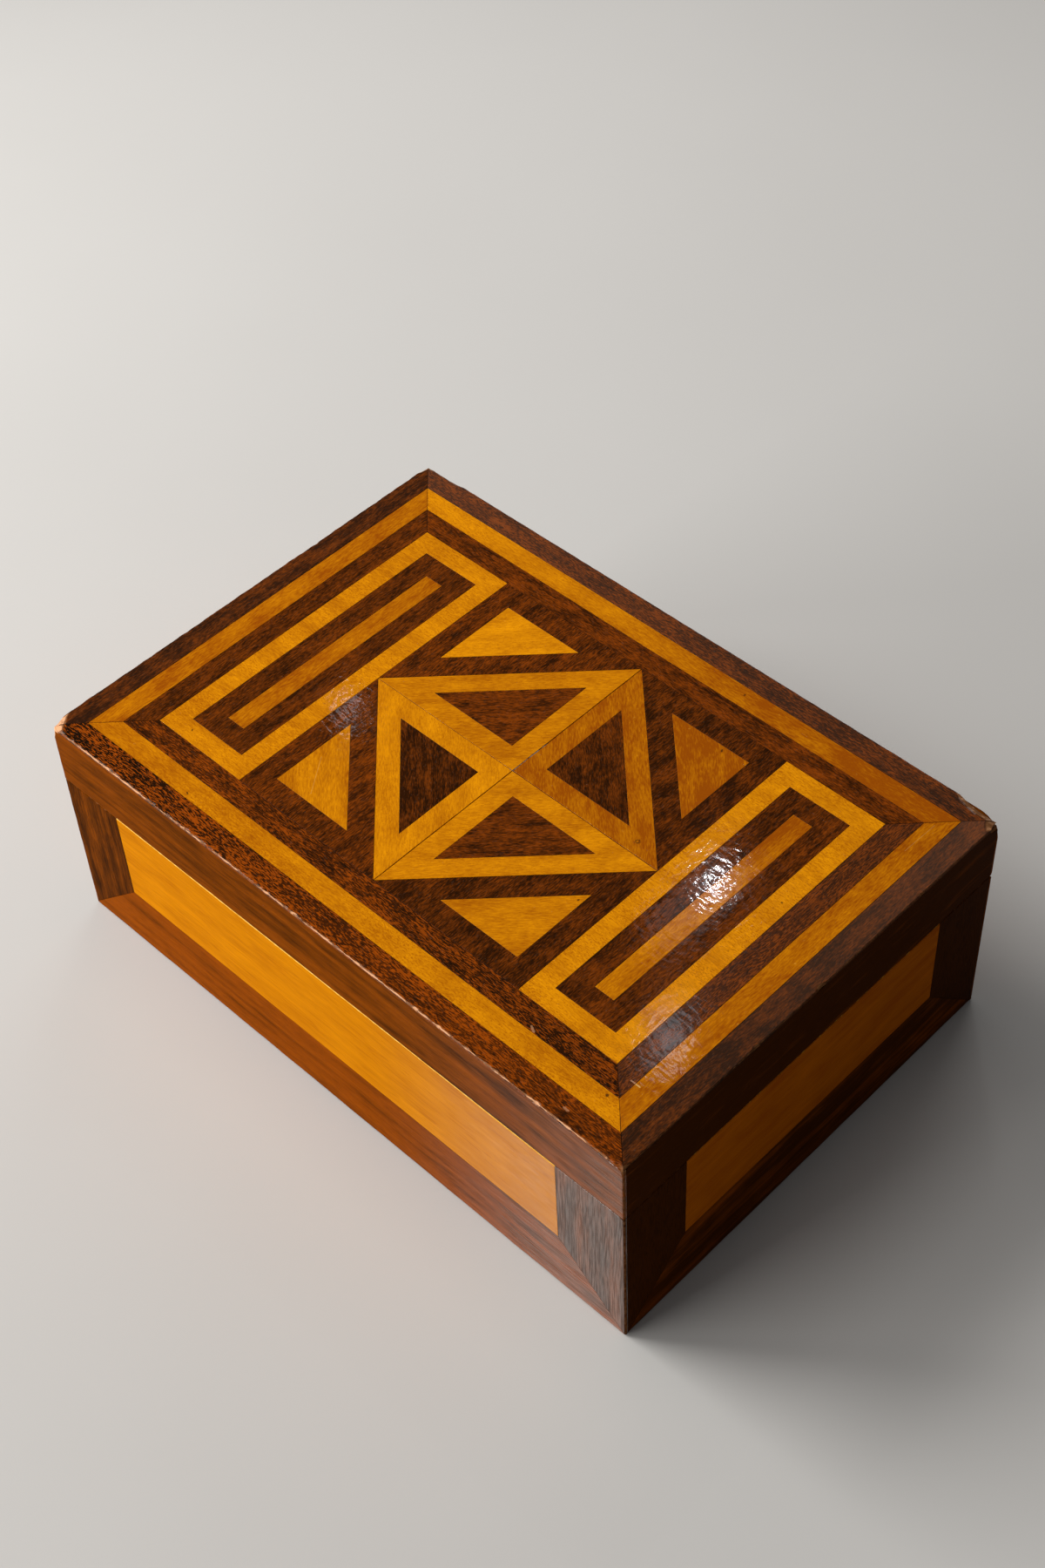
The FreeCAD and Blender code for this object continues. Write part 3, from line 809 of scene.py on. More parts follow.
@dataclass(frozen=True)
class FloorFinish:
    """A plain pale floor, darkened further out as painted shade, that is clear from below, so that the
    underside can be looked at.

    Attributes:
        name: name of the material.
        colour: colour round the part.
        shade: colour of its faint clouds.
        far_shade: painted shade, the darker colour well away from the part.
        near_end: how far from the part the first colour goes, in metres.
        far_start: distance at which the painted shade is complete, in metres.
        cloud_scale: how many clouds there are to a metre.
        roughness: roughness of its surface.
        specular: reflection of its surface.
    """

    name: str = "pale_floor"
    colour: Colour = (0.58, 0.56, 0.53)
    shade: Colour = (0.55, 0.53, 0.50)
    far_shade: Colour = (0.13, 0.125, 0.12)
    near_end: float = 0.33
    far_start: float = 0.85
    cloud_scale: float = 9.0
    roughness: float = 0.85
    specular: float = 0.2

    def material(self) -> bpy.types.Material:
        """The floor's material."""
        made, graph = new_material(self.name)
        place = graph.add("ShaderNodeTexCoord").outputs["Object"]
        cloud = graph.cloud(graph.scaled(place, self.cloud_scale), detail=3.0)
        colour = graph.blend(cloud, rgba(self.colour), rgba(self.shade))
        # Painted shade: the floor darkens with distance from the part.
        away = graph.remap(graph.dot(place, place), self.near_end ** 2, self.far_start ** 2)
        colour = graph.blend(away, colour, rgba(self.far_shade))
        shader = graph.add("ShaderNodeBsdfPrincipled", {
            "Base Color": colour, "Roughness": self.roughness, "Specular IOR Level": self.specular})
        clear = graph.add("ShaderNodeBsdfTransparent")
        below = graph.add("ShaderNodeNewGeometry").outputs["Backfacing"]
        both = graph.add("ShaderNodeMixShader", {0: below, 1: shader.outputs[0], 2: clear.outputs[0]})
        graph.add("ShaderNodeOutputMaterial", {"Surface": both.outputs[0]})
        return made


TOP_MARKS = (
    Mark((35.1, 3.3), 0.75, ring=True), Mark((36.8, -17.5), 0.34), Mark((69.5, 11.2), 0.32),
    Mark((23.4, 53.0), 0.36), Mark((30.9, 36.4), 0.26, (31.1, 36.0)), Mark((75.7, -50.6), 0.46),
    Mark((-49.9, -54.0), 0.26, (-49.5, -54.2)), Mark((-64.0, -40.4), 0.24, (-63.8, -40.6)),
    Mark((76.8, -44.7), 0.22, (79.2, -44.7), pale=True, strength=0.45),
    Mark((79.9, 40.2), 0.09, (80.2, 50.3), pale=True, strength=0.15),
    Mark((-35.4, -26.1), 0.07, (-28.8, -35.5), pale=True, strength=0.2),
    Mark((71.4, -58.6), 0.36, (72.4, -58.6), pale=True, strength=0.35),
    Mark((52.6, -48.5), 0.34, (53.9, -49.2), pale=True, strength=0.4))
# Its bare colour is brightened so that the front's rubbed edge also shows a painted highlight; chips and
# pale marks take it too.
DARK_TOP = WoodFinish(
    name="dark_veneer_top", slot=Slot.DARK, pale=(0.190, 0.041, 0.0030), deep=(0.026, 0.0066, 0.0010),
    red=(0.340, 0.062, 0.002), fleck=(0.010, 0.0042, 0.0015), bare=(0.68, 0.34, 0.17),
    worn=(0.20, 0.082, 0.030), streak_width=0.8, streak_contrast=0.9, fibre_length=1.3, fibre_width=0.3,
    fibre_contrast=1.6, cloud_size=3.0, cloud_contrast=1.3, fleck_length=1.25, fleck_width=0.23,
    fleck_level=0.43, pore_amount=0.1, marks=TOP_MARKS)
DARK_MATT = replace(DARK_TOP, name="dark_veneer_matt", specular=0.0015)
DARK_SIDE = replace(
    DARK_TOP, name="dark_veneer_side", pale=(0.250, 0.058, 0.0020), deep=(0.050, 0.0125, 0.0008),
    streak_width=2.4, streak_contrast=1.6, fibre_length=8.0, fibre_width=0.35, fibre_contrast=0.7,
    cloud_size=5.0, cloud_contrast=0.7, fleck_length=3.0, fleck_width=0.24, pore_amount=0.03,
    specular=0.0015, coat_ior=3.1, marks=())
LIGHT_TOP = WoodFinish(
    name="light_veneer_top", slot=Slot.LIGHT, pale=(0.82, 0.302, 0.0020), deep=(0.30, 0.066, 0.0010),
    red=(0.40, 0.11, 0.005), fleck=(0.36, 0.088, 0.0010), bare=(0.94, 0.64, 0.20), worn=(0.86, 0.44, 0.06),
    glue=(0.040, 0.015, 0.003), streak_width=2.4, streak_contrast=0.3, fibre_length=1.6, fibre_width=0.36,
    fibre_contrast=1.0, cloud_size=5.0, cloud_contrast=0.85, fleck_length=0.6, fleck_width=0.24,
    fleck_level=0.50, marks=TOP_MARKS)
LIGHT_SIDE = replace(
    LIGHT_TOP, name="light_veneer_side", red=(0.55, 0.07, 0.0005), streak_contrast=0.4, fibre_length=6.0,
    fibre_width=0.3, fibre_contrast=0.4, cloud_size=7.0, cloud_contrast=0.35, fleck_length=12.0,
    fleck_width=0.3, fleck_level=0.53, specular=0.0015, marks=())
CARCASS_WOOD = WoodFinish(
    name="carcass_wood", slot=Slot.CARCASS, pale=(0.50, 0.30, 0.14), deep=(0.28, 0.145, 0.058),
    red=(0.35, 0.16, 0.06), fleck=(0.18, 0.085, 0.032), bare=(0.60, 0.42, 0.24), worn=(0.50, 0.32, 0.17),
    streak_width=1.6, streak_contrast=1.5, fibre_length=5.0, fibre_width=0.45, fibre_contrast=0.9,
    cloud_size=6.0, cloud_contrast=0.8, fleck_length=2.6, fleck_width=0.36, fleck_level=0.50, gloss=0.50,
    dull=0.66, ripple=0.03, relief=0.03, specular=0.22)
HINGE_BRASS = MetalFinish(name="hinge_brass", slot=Slot.BRASS, clean=(0.66, 0.46, 0.17),
                          tarnish=(0.26, 0.165, 0.065))
SCREW_BRASS = replace(HINGE_BRASS, name="screw_brass", clean=(0.46, 0.30, 0.11),
                      tarnish=(0.13, 0.080, 0.032))
PIN_STEEL = MetalFinish(name="hinge_pin_steel", slot=Slot.STEEL, clean=(0.44, 0.43, 0.42),
                        tarnish=(0.20, 0.17, 0.15))
Finish = Union[WoodFinish, MetalFinish]


class Paints:
    """The materials of the part, each made once."""

    def __init__(self) -> None:
        """Make the shared groups."""
        self.groups = Groups()
        self.made: dict[str, bpy.types.Material] = {}

    def __getitem__(self, finish: Finish) -> bpy.types.Material:
        """Material of a finish."""
        if finish.name not in self.made:
            self.made[finish.name] = finish.material(self.groups)
        return self.made[finish.name]


def linked(name: str, data: bpy.types.ID) -> bpy.types.Object:
    """A new object in the scene.

    Args:
        name: name of the object.
        data: its mesh, light or camera.

    Returns:
        The object.
    """
    made = bpy.data.objects.new(name, data)
    bpy.context.scene.collection.objects.link(made)
    return made


def put_in_place(mesh: bpy.types.Mesh, body: Body, finish: Finish, paints: Paints, node: str) -> None:
    """Make a finished mesh a piece of the part.

    Args:
        mesh: the mesh, in its place.
        body: the body that it moves with.
        finish: its wood or metal.
        paints: the materials.
        node: the CAD node that it stands for.
    """
    mesh.materials.clear()
    mesh.materials.append(paints[finish])
    piece = linked(mesh.name, mesh)
    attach(piece, body.value)
    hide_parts(node)
    LOG.info("%s: %d faces on %s", mesh.name, len(mesh.polygons), body.value)


# Outlines of the CAD nodes


def round_pairs(row: Sequence[Any]) -> Iterable[tuple[Any, Any]]:
    """Each item of a closed row with the next."""
    return zip(row, [*row[1:], row[0]])


class Outline:
    """The outlines of a CAD node, read off the face that is glued down.

    Attributes:
        shapes: for each solid of the node, its outer loop and the loops of its windows, in millimetres, as
            seen from outside, with the wood on the left.
        height: distance of the outer surface along the outward direction.
        thickness: thickness of the veneer.
    """

    FLAT = 0.01
    ON_LINE = 1e-6
    DIGITS = 3

    def __init__(self, node: str, face: Face, quartered: bool = False) -> None:
        """Read the outlines.

        Args:
            node: name of the CAD node.
            face: the face that the veneer lies on.
            quartered: whether it has a solid in each quarter of the face, which may touch.
        """
        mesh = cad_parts[node].data
        points = [vertex.co / MM for vertex in mesh.vertices]
        depths = [point.dot(face.outward) for point in points]
        self.height = max(depths)
        self.thickness = self.height - min(depths)
        flat = [tuple(round(point.dot(axis), self.DIGITS) for axis in (face.across, face.up))
                for point in points]
        floor = min(depths) + self.FLAT
        quarters: dict[tuple[bool, bool], set[tuple[Point, Point]]] = {}
        for polygon in mesh.polygons:
            corners = list(polygon.vertices)
            if all(depths[corner] < floor for corner in corners):
                ring = [flat[corner] for corner in reversed(corners)]
                quarter = tuple(quartered and sum(point[axis] for point in ring) > 0 for axis in (0, 1))
                quarters.setdefault(quarter, set()).update(round_pairs(ring))
        self.shapes: list[list[Loop]] = []
        for _, edges in sorted(quarters.items()):
            self.shapes += self._sort(self._chain(edges))

    def add_corner(self, place: Point) -> None:
        """Add a corner to the straight edges that a place lies on.

        Args:
            place: the place, in the face.
        """
        for loop in (loop for shape in self.shapes for loop in shape):
            for index in range(len(loop)):
                first, last = Vector(loop[index - 1]), Vector(loop[index])
                ways = (first - Vector(place)).length + (last - Vector(place)).length
                if place not in loop and ways - (last - first).length < self.ON_LINE:
                    loop.insert(index or len(loop), place)

    @staticmethod
    def _chain(edges: set[tuple[Point, Point]]) -> list[Loop]:
        """Chain the free edges of a face into loops.

        Args:
            edges: start and end of the edges of all its triangles.

        Returns:
            The loops, without points on straight runs.
        """
        ends: dict[Point, list[Point]] = {}
        for start, end in sorted(edges):
            if (end, start) not in edges:
                ends.setdefault(start, []).append(end)
        loops = []
        while ends:
            start = min(ends)
            loop, here = [start], ends[start].pop()
            while here != start:
                loop.append(here)
                here = ends[here].pop()
            for point in loop:
                if not ends.get(point, True):
                    del ends[point]
            neighbours = zip(loop[-1:] + loop, loop, loop[1:] + loop[:1])
            loops.append([point for before, point, after in neighbours
                          if abs(turn_at(before, point, after)) > STRAIGHT])
        return loops

    @staticmethod
    def _sort(loops: list[Loop]) -> list[list[Loop]]:
        """Put each window with the outer loop that holds it.

        Args:
            loops: all loops of the node.

        Returns:
            Lists of an outer loop and its windows.
        """
        shapes = [[loop] for loop in loops if signed_area(loop) > 0]
        for window in (loop for loop in loops if signed_area(loop) < 0):
            holders = [shape for shape in shapes if holds(shape[0], window[0])]
            min(holders, key=lambda shape: signed_area(shape[0])).append(window)
        return shapes


def turn_at(before: Point, here: Point, after: Point) -> float:
    """Sine of the turn of a path at a point."""
    first = Vector(here) - Vector(before)
    second = Vector(after) - Vector(here)
    return first.normalized().cross(second.normalized())


def signed_area(loop: Loop) -> float:
    """Area of a loop, positive where it runs counter-clockwise."""
    return sum(ax * by - bx * ay for (ax, ay), (bx, by) in round_pairs(loop)) / 2


def holds(loop: Loop, point: Point) -> bool:
    """Whether a point lies inside a loop.

    Args:
        loop: the loop.
        point: the point.

    Returns:
        True inside.
    """
    inside = False
    for (ax, ay), (bx, by) in round_pairs(loop):
        if (ay > point[1]) != (by > point[1]):
            inside ^= point[0] < ax + (point[1] - ay) / (by - ay) * (bx - ax)
    return inside


# Veneer sheets


@dataclass
class Station:
    """A point of a veneer's outline, with the edges that meet there.

    Attributes:
        point: its place in the face.
        before: direction, kind and width of the edge that arrives.
        after: direction, kind and width of the edge that leaves.
        run: number of the edge that leaves.
        along: how far along that edge it is, from 0 at the corner to 1 at the next.
        recess: how far the wood has broken away there.
        bare: share of pale bare wood where it has broken.
        rubbed: wear of the edge there, as a share of its usual wear.
    """

    point: Vector
    before: tuple[Vector, Edge, float]
    after: tuple[Vector, Edge, float]
    run: int
    along: float
    recess: float = 0.0
    bare: float = 0.0
    rubbed: float = 1.0
    BREAK_SLOPE = 0.65
    BREAK_DROP = 0.3
    DEEPEST = 1.6

    def moved(self, ring: float) -> Vector:
        """Place of the station on a ring of the edge.

        Args:
            ring: 0 at the face and 1 at the foot of the edge.

        Returns:
            The place, in the face.
        """
        broken = self.recess * (1 - self.BREAK_SLOPE * ring)
        widths = [self._spread(edge, ring) * width + (broken if edge.chips_off else 0.0)
                  for _, edge, width in (self.before, self.after)]
        first, second = (Vector((-run.y, run.x)) for run in (self.before[0], self.after[0]))
        turn = first.cross(second)
        if abs(turn) < STRAIGHT:
            return self.point + second * widths[1]
        return self.point + Vector((widths[0] * second.y - widths[1] * first.y,
                                    widths[1] * first.x - widths[0] * second.x)) / turn

    def drop(self, ring: float) -> float:
        """Depth of the station on a ring of the edge."""
        drops = []
        for _, edge, width in (self.before, self.after):
            shape = edge.value
            share = 1 - math.cos(ring * math.pi / 2) if shape.rounded else ring
            drops.append(share * shape.depth * min(self.DEEPEST, width / shape.inset))
        return max(drops) + self.BREAK_DROP * self.recess * ring

    def share(self, name: str) -> float:
        """Largest glue or wear of the edges that meet here."""
        return max(getattr(edge.value, name) for _, edge, _ in (self.before, self.after))

    @staticmethod
    def _spread(edge: Edge, ring: float) -> float:
        """Share of an edge's width that is left on a ring."""
        return 1 - math.sin(ring * math.pi / 2) if edge.value.rounded else 1 - ring


EdgeRule = Callable[[Point, Point], Edge]


@dataclass
class Sheet:
    """A veneer piece: an outline with finished edges and a thickness.

    Attributes:
        name: name of the piece.
        face: the face that it lies on.
        outline: outlines of the CAD node.
        cuts: how each solid was cut from the wood.
        edge_rule: the kind of edge between two corners.
        chips: broken places of its outer edge.
        rings: how many strips an edge has.
        fade: length over which wear fades down the side.
        bare_from: how deep a chip is when all its wood is bare.
    """

    name: str
    face: Face
    outline: Outline
    cuts: Sequence[Cut]
    edge_rule: EdgeRule
    chips: Sequence[Chip] = ()
    rings: int = 3
    fade: float = 0.18
    bare_from: float = 0.25
    SEEDS = 997
    SEED_STEP = 7.3
    RUB_SEED = 50.0
    RUB_PITCH = 5.0
    FINE_SHARE = 0.5
    FINE_PITCH = 2.7
    NOISE_PLANES = (0.5, 3.5)
    LEAST_WIDTH = 0.3
    SIDE_WEAR = 0.2

    def mesh(self) -> bpy.types.Mesh:
        """The sheet's mesh, closed and in its place."""
        shape = bmesh.new()
        layers = WoodLayers(shape)
        for number, loops in enumerate(self.outline.shapes):
            cut = self.cuts[number % len(self.cuts)]
            grain = Grain.in_face(self.face, cut.turn, f"{self.name}.{number}")
            self._add_solid(shape, layers, loops, grain, cut)
        return finished_mesh(shape, self.name)

    def _stations(self, loop: Loop, key: str) -> list[Station]:
        """Points of one loop, close together where an edge wanders.

        Args:
            loop: the corners.
            key: name that the wandering is drawn from.

        Returns:
            The stations.
        """
        start = seed_of(key) % self.SEEDS
        runs = []
        for number, (first, last) in enumerate(round_pairs(loop)):
            edge = self.edge_rule(first, last)
            run = Vector(last) - Vector(first)
            count = max(1, round(run.length / edge.value.step)) if edge.value.step else 1
            runs.append((Vector(first), run, edge, count, start + self.SEED_STEP * number))
        stations = []
        for index, (first, run, edge, count, seed) in enumerate(runs):
            _, last_run, last_edge, _, last_seed = runs[index - 1]
            for step in range(count):
                point = first + run * (step / count)
                gone = run.length * step / count
                after = (run.normalized(), edge, self._width(edge, gone, seed))
                arrive = after
                if step == 0:
                    width = self._width(last_edge, last_run.length, last_seed)
                    arrive = (last_run.normalized(), last_edge, width)
                station = Station(point, arrive, after, index, step / count)
                rub = self._wander(gone, self.RUB_PITCH, seed + self.RUB_SEED)
                station.rubbed += edge.value.patchy * rub
                if self.chips and (edge.chips_off or arrive[1].chips_off):
                    chip = max(self.chips, key=lambda one: one.at(tuple(point)))
                    station.recess, station.bare = chip.at(tuple(point)), chip.bare
                stations.append(station)
        return stations

    @staticmethod
    def _ring(stations: list[Station], ring: float) -> list[Vector]:
        """Places of the stations on a ring of the edge, each run spread evenly between its moved corners.

        Args:
            stations: the stations of one loop.
            ring: 0 at the face and 1 at the foot of the edge.

        Returns:
            The places, in the face.
        """
        places = [station.moved(ring) for station in stations]
        corners = [place for place, station in zip(places, stations) if station.along == 0]
        spread = []
        for place, station in zip(places, stations):
            run = station.after[0]
            first = corners[station.run].dot(run)
            last = corners[(station.run + 1) % len(corners)].dot(run)
            spread.append(place + run * (first + (last - first) * station.along - place.dot(run)))
        return spread

    def _wander(self, along: float, pitch: float, seed: float) -> float:
        """Smooth random swing of about -1 to 1 along an edge."""
        broad, fine = self.NOISE_PLANES
        swing = noise.noise(Vector((along / pitch, seed, broad)))
        return swing + self.FINE_SHARE * noise.noise(Vector((along / pitch * self.FINE_PITCH, seed, fine)))

    def _width(self, edge: Edge, along: float, seed: float) -> float:
        """Width of an edge at a place along it."""
        shape = edge.value
        width = shape.inset + shape.waver * self._wander(along, shape.pitch, seed)
        return max(self.LEAST_WIDTH * shape.inset, width)

    def _add_solid(self, shape: bmesh.types.BMesh, layers: "WoodLayers", loops: list[Loop], grain: "Grain",
                   cut: Cut) -> None:
        """Add one closed solid of the sheet.

        Args:
            shape: the mesh that it goes into.
            layers: the wood attributes of the mesh.
            loops: outer loop and windows.
            grain: direction and place of the grain.
            cut: how it was cut.
        """
        tops, foots = [], []
        for number, loop in enumerate(loops):
            stations = self._stations(loop, f"{self.name}.{number}.{loop[0]}")
            levels = []
            for ring in range(self.rings + 1):
                share = ring / self.rings
                places = self._ring(stations, share)
                levels.append([(place, station.drop(share), share)
                               for place, station in zip(places, stations)])
            side = [(flat, drop + self.fade, self.SIDE_WEAR) for flat, drop, _ in levels[-1]]
            foot = [(flat, self.outline.thickness, 0.0) for flat, _, _ in levels[-1]]
            rows = []
            for level in [*levels, side, foot]:
                row = []
                for station, (flat, drop, share) in zip(stations, level):
                    vertex = shape.verts.new(self._place(flat, min(drop, self.outline.thickness)))
                    rubbed = station.share("wear") * station.rubbed * math.sin(share * math.pi / 2)
                    broken = station.bare * min(1.0, station.recess / self.bare_from)
                    broken = 0.0 if level is levels[0] else broken
                    core = station.share("core") if level is foot else 0.0
                    layers.write(vertex, grain, cut, glue=station.share("glue") * share,
                                 wear=max(rubbed, broken, core))
                    row.append(vertex)
                rows.append(row)
            for upper, lower in zip(rows, rows[1:]):
                for index, vertex in enumerate(upper):
                    after = (index + 1) % len(upper)
                    shape.faces.new((vertex, lower[index], lower[after], upper[after]))
            tops.append(rows[0])
            foots.append(rows[-1])
        cover(shape, tops, self.face.outward)
        cover(shape, foots, -self.face.outward)

    def _place(self, flat: Vector, drop: float) -> Vector:
        """Place of a point of the face in the frame, in metres."""
        face = self.face
        return (face.across * flat.x + face.up * flat.y + face.outward * (self.outline.height - drop)) * MM


def cover(shape: bmesh.types.BMesh, rows: list[list[bmesh.types.BMVert]], outward: Vector) -> None:
    """Close the flat face between an outer row of points and the rows of its windows.

    Args:
        shape: the mesh.
        rows: the rows, each a loop.
        outward: direction that the face looks in.
    """
    edges = []
    for row in rows:
        for pair in round_pairs(row):
            edges.append(shape.edges.get(pair))
    made = bmesh.ops.triangle_fill(shape, use_beauty=True, use_dissolve=False, edges=edges, normal=outward)
    for face in (item for item in made["geom"] if isinstance(item, bmesh.types.BMFace)):
        face.normal_update()
        if face.normal.dot(outward) < 0:
            face.normal_flip()


@dataclass(frozen=True)
class Grain:
    """Direction of a piece's grain, and where in the wood it was cut.

    Attributes:
        along: direction of the grain.
        across: direction across it.
        through: direction through the piece.
        shift: place in the wood, in metres.
    """

    along: Vector
    across: Vector
    through: Vector
    shift: Vector

    @classmethod
    def in_face(cls, face: Face, turn: float, name: str) -> "Grain":
        """Grain that lies in a face.

        Args:
            face: the face.
            turn: angle from its across direction, in degrees.
            name: name that the place in the wood is drawn from.

        Returns:
            The grain.
        """
        angle = math.radians(turn)
        along = face.across * math.cos(angle) + face.up * math.sin(angle)
        return cls(along, face.outward.cross(along), face.outward, grain_shift(name))

    @classmethod
    def along_length(cls, low: Vector, high: Vector, name: str) -> "Grain":
        """Grain along the longest side of a box.

        Args:
            low: lowest corner.
            high: highest corner.
            name: name that the place in the wood is drawn from.

        Returns:
            The grain.
        """
        size = high - low
        axes = [Vector((1, 0, 0)), Vector((0, 1, 0)), Vector((0, 0, 1))]
        axes.sort(key=lambda axis: -abs(size.dot(axis)))
        return cls(axes[0], axes[1], axes[2], grain_shift(name))

    def at(self, place: Vector) -> Vector:
        """Place in the wood of a place in the frame, both in metres."""
        return Vector((place.dot(self.along), place.dot(self.across), place.dot(self.through))) + self.shift


class WoodLayers:
    """The attributes that the wood finishes read: grain, cut, glue, wear and surface."""

    def __init__(self, shape: bmesh.types.BMesh) -> None:
        """Add the layers.

        Args:
            shape: the mesh.
        """
        floats = shape.verts.layers
        self.grain = floats.float_vector.new("grain")
        self.cut = floats.float_vector.new("cut")
        self.glue = floats.float.new("glue")
        self.wear = floats.float.new("wear")
        self.surface = floats.float_vector.new("surface")

    def write(self, vertex: bmesh.types.BMVert, grain: Grain, cut: Cut, glue: float, wear: float) -> None:
        """Set the attributes of one point.

        Args:
            vertex: the point.
            grain: direction and place of the grain.
            cut: how the piece was cut.
            glue: share of glue.
            wear: share of wear.
        """
        vertex[self.grain] = grain.at(vertex.co)
        along = vertex.co.dot(grain.along) / (SLOPE_LENGTH * MM)
        vertex[self.cut] = Vector((cut.tone + cut.slope * along, cut.red, cut.fleck + cut.thin * along))
        # Share of grey haze in the finish, partly a painted sheen.
        haze = max(0.0, cut.haze * (1 + cut.haze_slope * along))
        polish = cut.polish * vertex.co.x / (SLOPE_LENGTH * MM)
        vertex[self.surface] = Vector((polish, haze, 0.0))
        vertex[self.glue] = glue
        vertex[self.wear] = wear


def mesh_of(shape: bmesh.types.BMesh, name: str) -> bpy.types.Mesh:
    """A mesh of a built shape.

    Args:
        shape: the shape, which is freed.
        name: name of the mesh.

    Returns:
        The mesh.
    """
    mesh = bpy.data.meshes.new(name)
    shape.to_mesh(mesh)
    shape.free()
    mesh.update()
    return mesh


def finished_mesh(shape: bmesh.types.BMesh, name: str) -> bpy.types.Mesh:
    """Turn a built shape into a mesh with smooth roundings and flat faces.

    Args:
        shape: the shape, which is freed.
        name: name of the mesh.

    Returns:
        The mesh.
    """
    for face in shape.faces:
        face.smooth = True
    for edge in shape.edges:
        broad = [face for face in edge.link_faces if len(face.verts) == 3]
        edge.smooth = edge.calc_face_angle(0.0) < SHEET_CREASE and len(broad) != 1
    return mesh_of(shape, name)


@dataclass(frozen=True)
class WornCorner:
    """A corner of a piece that has been knocked round.

    Attributes:
        place: the corner.
        reach: how far along the edges it is worn.
        shift: how far the corner itself has gone in.
        slices: how many strips the worn length is cut into.
        power: how fast the wear falls off from the corner.
    """

    place: Vector
    reach: float
    shift: Vector
    slices: int = 3
    power: float = 1.5
    CUT_REACH = 1e-7

    def slice(self, shape: bmesh.types.BMesh) -> None:
        """Cut the faces by the corner into strips."""
        for axis in (0, 2):
            across = Vector((0, 0, 0))
            across[axis] = 1.0
            for number in range(1, self.slices + 1):
                point = self.place.copy()
                point[axis] -= self.reach * number / self.slices
                everything = [*shape.verts, *shape.edges, *shape.faces]
                bmesh.ops.bisect_plane(shape, geom=everything, plane_co=point * MM, plane_no=across,
                                       dist=self.CUT_REACH)

    def share(self, vertex: bmesh.types.BMVert) -> float:
        """How far a point is worn, from 0 to 1 at the corner."""
        away = vertex.co / MM - self.place
        return max(0.0, 1 - math.hypot(away.x, away.z) / self.reach) ** self.power


def softened(node: str, name: str, width: float, cut: Cut, grain: Grain, wear: float,
             worn: Optional[WornCorner] = None) -> bpy.types.Mesh:
    """A copy of a CAD node with its sharp edges broken.

    Args:
        node: name of the CAD node.
        name: name of the new mesh.
        width: width of the broken edges.
        cut: how the piece was cut.
        grain: direction and place of its grain.
        wear: share of wear on the broken edges.
        worn: a corner that has been knocked round.

    Returns:
        The mesh.
    """
    shape = bmesh.new()
    shape.from_mesh(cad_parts[node].data)
    bmesh.ops.remove_doubles(shape, verts=shape.verts, dist=SAME_PLACE)
    bmesh.ops.dissolve_limit(shape, angle_limit=FLAT_LIMIT, verts=shape.verts, edges=shape.edges)
    if worn:
        worn.slice(shape)
    sharp = [edge for edge in shape.edges if edge.calc_face_angle(0.0) > SHARP_LIMIT]
    made = bmesh.ops.bevel(shape, geom=sharp, offset=width * MM, offset_type="OFFSET", segments=2,
                           profile=0.5, affect="EDGES", clamp_overlap=True, material=-1)
    rounded = set(made["faces"])
    layers = WoodLayers(shape)
    for vertex in shape.verts:
        middle = vertex.link_faces and all(face in rounded for face in vertex.link_faces)
        gone = worn.share(vertex) if worn else 0.0
        layers.write(vertex, grain, cut, glue=0.0, wear=max(wear if middle else 0.0, gone))
        if worn:
            vertex.co += worn.shift * gone * MM
    for face in shape.faces:
        face.smooth = True
    for edge in shape.edges:
        flat = any(face not in rounded for face in edge.link_faces)
        edge.smooth = edge.calc_face_angle(0.0) < (FLAT_CREASE if flat else ROUND_CREASE)
    return mesh_of(shape, name)


# Sub-assemblies

SIDES = {"front": Face.FRONT, "back": Face.BACK, "left": Face.LEFT, "right": Face.RIGHT}
LONG_SIDES = ("front", "back")
ENDS = ("left", "right")
CROSSWISE = 90.0  # angle of grain that runs across a face
Quarter = tuple[float, float]
SLANTS = {(-1, -1): -45.0, (1, -1): -135.0, (-1, 1): 45.0, (1, 1): 135.0}


def slanted(cuts: dict[Quarter, Cut]) -> dict[Quarter, Cut]:
    """Cuts of the lid's quarters with the grain along the diamond's sides."""
    return {quarter: replace(cut, turn=SLANTS[quarter]) for quarter, cut in cuts.items()}


def lie_at(corners: Sequence[Point], axis: int, place: float) -> bool:
    """Whether corners of a face lie at one distance from its middle along an axis."""
    return all(abs(abs(corner[axis]) - place) < NEAR for corner in corners)


# How the pieces of the lid were cut, by side or by the signs of x and y
OUTER_CUTS = {
    "front": Cut(tone=0.38, red=0.85, fleck=0.86, slope=-0.68, thin=-0.2),
    # The grey haze on the back and right outer strips is partly a painted sheen.
    "back": Cut(tone=0.08, red=0.25, fleck=0.75, slope=-0.45, haze=0.12, haze_slope=-0.4),
    "left": Cut(tone=-0.45, red=0.1, fleck=0.5, haze=0.03),
    "right": Cut(tone=-0.4, fleck=0.5, slope=0.5, haze=0.14, haze_slope=1.1)}
LIGHT_CUTS = {
    "front": Cut(fleck=0.6, slope=0.25),
    # The back light strip grows darker toward its right end.
    "back": Cut(tone=-0.35, fleck=0.5, slope=-1.0),
    "left": Cut(tone=-0.55, fleck=0.5),
    "right": Cut(tone=-0.52, fleck=0.5)}
INNER_CUTS = {
    "front": Cut(red=0.65, fleck=0.85, slope=0.3, thin=0.15),
    "back": Cut(tone=-0.15, red=0.35, fleck=0.5),
    "left": Cut(tone=-0.2, red=0.15, fleck=0.5),
    "right": Cut(tone=0.16, red=0.15, fleck=0.75, slope=0.3, haze=0.05)}
KEY_FRAME_CUTS = {"left": Cut(tone=0.15, fleck=0.6), "right": Cut(tone=0.33, fleck=0.6)}
